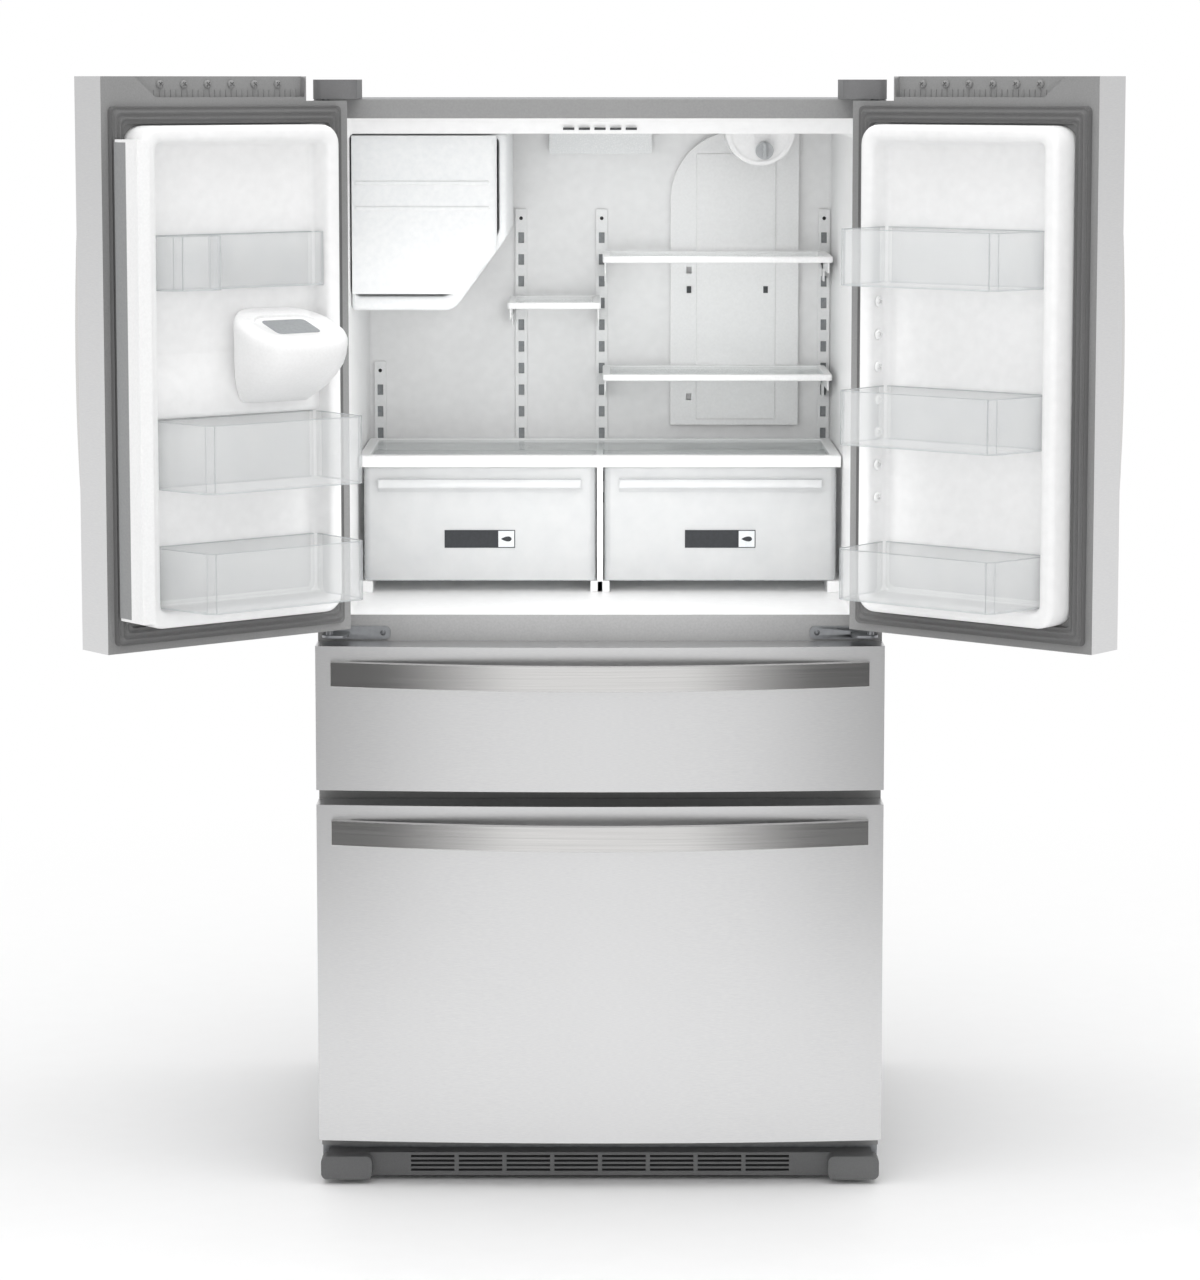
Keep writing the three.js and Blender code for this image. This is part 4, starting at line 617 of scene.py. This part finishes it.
def direction(way, turn):
    """Where a way points once a turn of points is applied: the turned way less the turned zero."""
    tip, root = turn(np.array([way, [0.0, 0.0, 0.0]]))
    return tip - root


def rows_of(collection, name):
    """A vector of every vertex or face of a mesh, as rows of x, y and z."""
    flat = np.empty(len(collection) * 3, dtype=np.float32)
    collection.foreach_get(name, flat)
    return flat.reshape(-1, 3).astype(float)


def shut_box(node, side):
    """Lowest and highest corners of a door's node once the door is turned shut."""
    shut = swing(rows_of(frame["nodes"][node].data.vertices, "co"), side, -OPEN)
    return shut.min(0), shut.max(0)


def sealing_ring(name, x, y, z, widths, body, turn=None):
    """A gasket: a ribbed section carried round a rectangle with round corners. At u across it the
    section is 0.55 plus 0.30 times the root of sin(pi u) plus 0.15 cos(6 pi u) high, in shares of
    y, and it falls to nothing at both edges. widths are at its left, right, bottom and top."""
    steps, corner = 16, 0.008
    u = np.linspace(0, 1, 29)
    height = 0.55 + 0.30 * np.sin(pi * u) ** 0.5 + 0.15 * np.cos(6 * pi * u)
    height = np.where((u == 0) | (u == 1), 0.0, height)
    quarter = np.linspace(0, pi / 2, steps)
    angle = np.concatenate([quarter + k * pi / 2 for k in range(4)])[:, None]
    sign_x = np.repeat([1, -1, -1, 1], steps)[:, None]
    sign_z = np.repeat([1, 1, -1, -1], steps)[:, None]
    left, right, bottom, top = widths
    wide_x, wide_z = np.where(sign_x > 0, right, left), np.where(sign_z > 0, top, bottom)
    px = (x[0] + x[1]) / 2 + sign_x * ((x[1] - x[0]) / 2 - corner - u * wide_x)
    pz = (z[0] + z[1]) / 2 + sign_z * ((z[1] - z[0]) / 2 - corner - u * wide_z)
    px, pz = px + corner * np.cos(angle), pz + corner * np.sin(angle)
    points = np.stack([px, y[0] + (y[1] - y[0]) * height + 0 * px, pz], -1)
    rows = points.reshape(-1, 3)
    return add_piece(name, turn(rows) if turn else rows, looped(points), [gasket_gray], body,
                     60)


# The tray's depths from the flange: where it starts, its ridge and its dish.
base, ridge, dish = flange - 0.0116, flange + 0.045, flange + 0.008


def tray_rows(x, z):
    """Rows of a door's tray, inset from its outline. The wall climbs to the ridge, turns over a
    25 mm rim by two quarter circles, and runs down to the dish by a third, wider one."""
    rim, bend = 0.025, 0.009

    def inset(amount, depth, radius=0.030):
        return [x[0] + amount, x[1] - amount, z[0] + amount, z[1] - amount,
                max(radius - amount, 0.012), depth]

    rows = [inset(0, base), inset(0, ridge - bend)]
    rows += [inset(bend * out, ridge - bend + bend * along) for along, out in fillet()[1:]]
    rows += [inset(rim - bend + bend * along, ridge - bend * out) for along, out in fillet()]
    rows += [inset(rim + 0.003 + 0.012 * out, dish + 0.012 - 0.012 * along, 0.034)
             for along, out in fillet()]
    return rows


for side, sign in (("left", -1), ("right", 1)):
    door = side + "_door"
    shut, opened = partial(swing, side=side, angle=-OPEN), partial(swing, side=side, angle=OPEN)

    # The skin's front and its returns are brushed, and the rest is painted.
    shell = finished(door + "_shell", brushed, 0.0035, 3).data
    shell.materials.append(door_gray)
    centres = shut(rows_of(shell.polygons, "center"))
    normals = shut(rows_of(shell.polygons, "normal")) - shut(np.zeros((1, 3)))
    skin = (normals[:, 1] < -0.5) | (abs(normals[:, 0]) > 0.5)
    skin &= (abs(normals[:, 2]) < 0.5) & (centres[:, 1] < flange - 0.0125)
    shell.polygons.foreach_set("material_index", (~skin).astype(int))
    finished(door + "_handle", upright_metal, 0.004, 4)

    low, high = shut_box(door + "_liner", side)
    points, faces = nested(tray_rows(sorted((sign * 0.039, sign * 0.400)), (low[2], high[2])), 7)
    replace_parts(add_piece(door + "_tray", opened(points[:, [0, 2, 1]]), faces, [liner_white], door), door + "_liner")
    if side == "right":
        inwards = direction([-1, 0, 0], opened)
        for count, z in enumerate(np.linspace(1.125, 1.431, 7)):
            spot = opened(np.array([[0.3725, dish + 0.020, z]]))[0]
            domed_disc(f"right_door_boss_{count}", spot, 0.0085, 0.0045, inwards, liner_white,
                       door)

    # The top cap's recess is 14 mm deep. It holds six round plugs and a row of ribs.
    cap_top = shut_box(door + "_shell", side)[1][2]
    recess = flange - 0.012 - 0.014
    ahead = direction([0, 1, 0], opened)
    for count, along in enumerate(np.linspace(0.115, 0.330, 6)):
        spot = opened(np.array([[sign * along, recess + 0.001, cap_top - 0.012]]))[0]
        domed_disc(f"{door}_cap_button_{count}", spot, 0.0065, 0.004, ahead, door_gray, door)
    half_rib = 0.0006
    for count, along in enumerate(np.linspace(0.105, 0.365, 27)):
        plate(f"{door}_cap_rib_{count}", (sign * along - half_rib, sign * along + half_rib),
              (recess - 0.0004, recess + 0.0012), (cap_top - 0.031, cap_top - 0.020), door_gray,
              door, 0.0003, opened)

    low, high = shut_box(door + "_gasket", side)
    free, hung = 0.0241, 0.022
    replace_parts(sealing_ring(door + "_seal", (low[0], high[0]), (low[1], high[1]),
                             (low[2], high[2]), (*(free, hung)[::sign], 0.0276, 0.027), door,
                             opened), door + "_gasket")
    for shelf in ("top", "middle", "bottom"):
        finished(f"{door}_bin_{shelf}", bin_clear, 0.0012, 2)
        edged(f"{door}_bin_{shelf}")

# ------------------------------------------------------------------ left door's own pieces
# A spring-loaded bar folds against the left door's edge, a chute leads ice through the door, and
# the dispenser in the outer face has a black housing and a gray paddle.

# Gray enamel on the flap's steel face, satin, with 3 mm orange peel.
flap_gray = grained("flap plate", "#8b8c8d", "#989999", (0.35, 0.45), (300, 300, 300), 0.00003)
# Moulded ABS, piano black under a thin clear coat: dark, with sharp highlights.
dispenser_black = grained("dispenser plastic", "#101113", "#1a1b1d", (0.12, 0.2), (300, 300, 300),
                          0.00002, Coat_Weight=0.3)
opened = partial(swing, side="left", angle=OPEN)
finished("mullion_flap", frame_white, 0.003, 3)
finished("dispenser_housing", dispenser_black, 0.003, 3)
finished("dispenser_paddle", kick_gray, 0.0015, 2)

# The chute's levels: share of its height, of its half width and of its depth, and corner radius.
levels = np.array([
    [0.00, 0.62, 0.30, 0.018], [0.05, 0.70, 0.38, 0.024], [0.16, 0.82, 0.60, 0.036],
    [0.30, 0.90, 0.80, 0.046], [0.45, 0.95, 0.92, 0.054], [0.62, 0.98, 0.98, 0.060],
    [0.80, 1.00, 1.00, 0.062], [0.92, 1.00, 1.00, 0.062], [0.97, 0.97, 0.98, 0.060],
    [1.00, 0.90, 0.94, 0.056], [1.00, 0.66, 0.82, 0.034], [0.975, 0.62, 0.79, 0.030],
])
low, high = shut_box("ice_chute", "left")
middle, span, rear = (low[0] + high[0]) / 2, (high[0] - low[0]) / 2, low[1]
slope, mouth = 0.045, 0.030
rows = [[middle - span * wide, middle + span * wide, rear, rear + (high[1] - rear) * deep, radius,
         low[2] + (high[2] - low[2]) * rise] for rise, wide, deep, radius in levels]
rows[-2][2] = rows[-1][2] = rear + mouth
points, faces = nested(rows, 9)
# Its top slopes down to the front by 45 mm, and the slope fades out at a third of its height.
fade = np.clip(((points[:, 2] - low[2]) / (high[2] - low[2]) - 0.35) / 0.6, 0, 1)
points[:, 2] -= slope * fade * (points[:, 1] - rear) / (high[1] - rear)
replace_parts(add_piece("ice_chute_funnel", opened(points), faces, [frame_white], "left_door",
                      50), "ice_chute")
# The window on the chute's top is a gray sheet in the slots' painted shade.
points, faces = nested([[middle - 0.040, middle + 0.040, rear + 0.042, rear + 0.092, 0.008,
                         high[2] - 0.0036 + lift] for lift in (-0.002, 0.0, 0.0008)], 5)
points[:, 2] -= slope * (points[:, 1] - rear) / (high[1] - rear)
add_piece("ice_chute_window", opened(points), faces, [slot_shadow], "left_door", 50)

# The liner swells by 13 mm round the chute, between the top bin and the middle one.
share = np.linspace(0, 1, 17)
swell = 0.013 * (1 - eased(share))
pad_y = dish + np.concatenate([[-0.002, 0.007, 0.0115, 0.013], swell - 0.002 * share])
pad_z = np.concatenate([[1.262, 1.262, 1.2645, 1.269], 1.300 + 0.075 * share])
pad = np.stack([np.stack([0 * pad_y + x, pad_y, pad_z], -1) for x in (-0.374, -0.066)])
add_piece("left_door_shoulder", opened(pad.reshape(-1, 3)), lofted(pad), [liner_white],
          "left_door", 50)

low, high = shut_box("mullion_flap", "left")
plate("mullion_flap_plate", (high[0] - 0.0004, high[0] + 0.0002), (low[1] + 0.006, low[1] + 0.038),
      (low[2] + 0.004, high[2] - 0.004), flap_gray, "flap", 0.0004, opened)

# ------------------------------------------------------------------ drawers
# Both drawer fronts are brushed steel boxes with a bowed bar across the top, a gasket round the
# back and a tub hung between two slide arms.

for name, tub, tub_finish in (("pantry", "pantry_tub", clear_plastic),
                              ("freezer", "freezer_basket", frame_white)):
    front = finished(name + "_front", brushed, 0.0035, 3).data
    front.materials.append(door_gray)
    behind = rows_of(front.polygons, "center")[:, 1] > flange - 0.02
    front.polygons.foreach_set("material_index", behind.astype(int))
    finished(name + "_handle", bar_metal, 0.004, 4)
    finished(tub, tub_finish, 0.002, 2)
    low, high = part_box(name + "_front")
    inner = flange - 0.012
    sealing_ring(name + "_seal", (low[0] + 0.014, high[0] - 0.014),
                 (inner + 0.0004, inner + 0.0108), (low[2] + 0.006, high[2] - 0.006),
                 [0.025] * 4, name + "_drawer")

# ------------------------------------------------------------------ floor, light and camera
# A pale seamless floor fades into a white room. Large soft lights stand in front and above, and a
# curved screen shades the steel.


def open_grid(rows, columns):
    """Faces of a grid of points, each joining a point to the next in its row and column."""
    i, j = np.meshgrid(np.arange(rows - 1), np.arange(columns - 1), indexing="ij")
    first = i * columns + j
    return np.stack([first, first + columns, first + columns + 1, first + 1],
                    -1).reshape(-1, 4).tolist()


def staged(name, x, y, z, material):
    """A sheet of the studio whose points are three grids of x, y and z."""
    mesh = bpy.data.meshes.new(name)
    points = np.stack([x, y, z], -1)
    mesh.from_pydata(points.reshape(-1, 3).tolist(), [], open_grid(*x.shape))
    mesh.materials.append(material)
    sheet = bpy.data.objects.new(name, mesh)
    bpy.context.scene.collection.objects.link(sheet)
    return sheet


def graded(owner, along, stops):
    """A ramp of grays along a value. The first stop is at 0 and the last at 1."""
    node = add(owner, "ShaderNodeValToRGB", Fac=along)
    marks = node.color_ramp.elements
    for place, shade in stops:
        mark = marks[0] if place == 0 else marks[-1] if place == 1 else marks.new(place)
        mark.color = (shade, shade, shade, 1)
    return node.outputs["Color"]


def sideways(owner, place):
    """A place split into x, y and z, and how far it is to either side: the size of its x."""
    spot = add(owner, "ShaderNodeSeparateXYZ", Vector=place)
    return spot, add(owner, "ShaderNodeMath", {"operation": "ABSOLUTE"},
                     {0: spot.outputs["X"]}).outputs["Value"]


# Matt painted board under the object: 50 mm mottling, all but flat. Past 1.1 m from the middle it
# gives way to plain white, and from 3.2 m it's all white.
floor_paint = grained("studio floor", "#f8f8f8", "#fafafa", (0.6, 0.7), (20, 20, 20), 0.00001)
tree = floor_paint.node_tree
lit_floor = next(node for node in tree.nodes if node.type == "BSDF_PRINCIPLED")
ends = next(node for node in tree.nodes if node.type == "OUTPUT_MATERIAL")
away = add(floor_paint, "ShaderNodeVectorMath", {"operation": "LENGTH"},
           {0: add(floor_paint, "ShaderNodeTexCoord").outputs["Object"]})
fade = add(floor_paint, "ShaderNodeMapRange", {"interpolation_type": "SMOOTHSTEP"},
           Value=away.outputs["Value"], From_Min=1.1, From_Max=3.2)
pale = add(floor_paint, "ShaderNodeEmission", Color=(1, 1, 1, 1), Strength=1.0)
blend = add(floor_paint, "ShaderNodeMixShader", {}, {
    0: fade.outputs["Result"], 1: lit_floor.outputs["BSDF"], 2: pale.outputs["Emission"]})
tree.links.new(blend.outputs["Shader"], ends.inputs["Surface"])
reach, under = 40.0, 0.0005
spread = reach * np.linspace(-1, 1, 33) ** 3
x, y = np.meshgrid(spread, spread, indexing="ij")
staged("studio_floor", x, y, 0 * x - under, floor_paint)

# The screen is cloth lit from behind, seen only in reflections. It is dark to either side of the
# middle, so that bowed steel shades towards its ends.
screen_radius = 2.4
cloth = bpy.data.materials.new("screen cloth")
cloth.use_nodes = True
cloth.node_tree.nodes.clear()
_, across = sideways(cloth, add(cloth, "ShaderNodeTexCoord").outputs["Object"])
share = add(cloth, "ShaderNodeMapRange", Value=across, From_Max=screen_radius).outputs["Result"]
shades = graded(cloth, share, ((0.0, 1.0), (0.22, 1.0), (0.34, 0.62), (0.50, 0.16), (0.72, 0.10),
                               (0.92, 0.7), (1.0, 1.0)))
glow = add(cloth, "ShaderNodeEmission", Color=shades, Strength=1.0)
add(cloth, "ShaderNodeOutputMaterial", Surface=glow.outputs["Emission"])
a, z = np.meshgrid(np.linspace(-1.35, 1.35, 61), np.linspace(-0.6, 3.4, 5), indexing="ij")
screen = staged("studio_screen", screen_radius * np.sin(a), -screen_radius * np.cos(a), z, cloth)
screen.visible_camera = False
screen.visible_diffuse = False
screen.visible_shadow = False
screen.visible_transmission = False

# The room is white overhead, and below it is darker to the left and right. Its walls are seen as
# plain white.
world = bpy.data.worlds.new("studio")
bpy.context.scene.world = world
world.use_nodes = True
world.node_tree.nodes.clear()
toward, aside = sideways(world, add(world, "ShaderNodeTexCoord").outputs["Generated"])
walls = graded(world, aside, ((0.0, 1.0), (0.16, 1.0), (0.34, 0.34), (0.62, 0.30), (1.0, 0.85)))
up = add(world, "ShaderNodeMapRange", {"interpolation_type": "SMOOTHSTEP"},
         Value=toward.outputs["Z"], From_Min=0.30, From_Max=0.75)
room = add(world, "ShaderNodeMix", {"data_type": "RGBA"},
           {0: up.outputs["Result"], 6: walls, 7: (0.95, 0.95, 0.95, 1)})
lit = add(world, "ShaderNodeBackground", Color=room.outputs[2], Strength=1.0)
seen = add(world, "ShaderNodeBackground", Color=(1, 1, 1, 1), Strength=1.0)
either = add(world, "ShaderNodeMixShader", {}, {
    0: add(world, "ShaderNodeLightPath").outputs["Is Camera Ray"], 1: lit.outputs["Background"],
    2: seen.outputs["Background"]})
add(world, "ShaderNodeOutputWorld", Surface=either.outputs["Shader"])

# Square area lights, each with its place, its aim, its width and its power in watts.
for name, place, aim, size, power in (
        ("key", (-1.6, -5.0, 3.0), (0, 0, 1.0), 2.6, 22),
        ("fill", (1.8, -5.0, 2.6), (0, 0, 1.0), 2.6, 18),
        ("overhead", (0, -0.8, 5.5), (0, 0, 1.0), 4.0, 110),
        ("compartment", (0, flange - 0.20, 1.12), (0, flange + 0.6, 1.08), 0.62, 1.8),
        ("ceiling lamp", (0.10, flange + 0.34, 1.63), (0.08, flange + 0.40, 1.0), 0.2, 0.2)):
    lamp = bpy.data.lights.new(name, "AREA")
    lamp.size = size
    lamp.energy = power
    light = bpy.data.objects.new(name, lamp)
    light.location = place
    light.rotation_euler = (Vector(aim) - Vector(place)).to_track_quat("-Z", "Y").to_euler()
    light.visible_camera = False
    light.visible_glossy = False
    bpy.context.scene.collection.objects.link(light)

# The lens is long, as high as the door tops, and looks down by 6.4 degrees.
camera_data = bpy.data.cameras.new("camera")
camera_data.lens = 109.0
camera_data.shift_y = -0.10
camera_data.clip_end = 60
camera = bpy.data.objects.new("camera", camera_data)
camera.location = (0, flange - 6.158, 1.774)
camera.rotation_euler = (radians(90 - 6.367), 0, 0)
bpy.context.scene.collection.objects.link(camera)
bpy.context.scene.camera = camera
bpy.context.scene.view_settings.view_transform = "Standard"
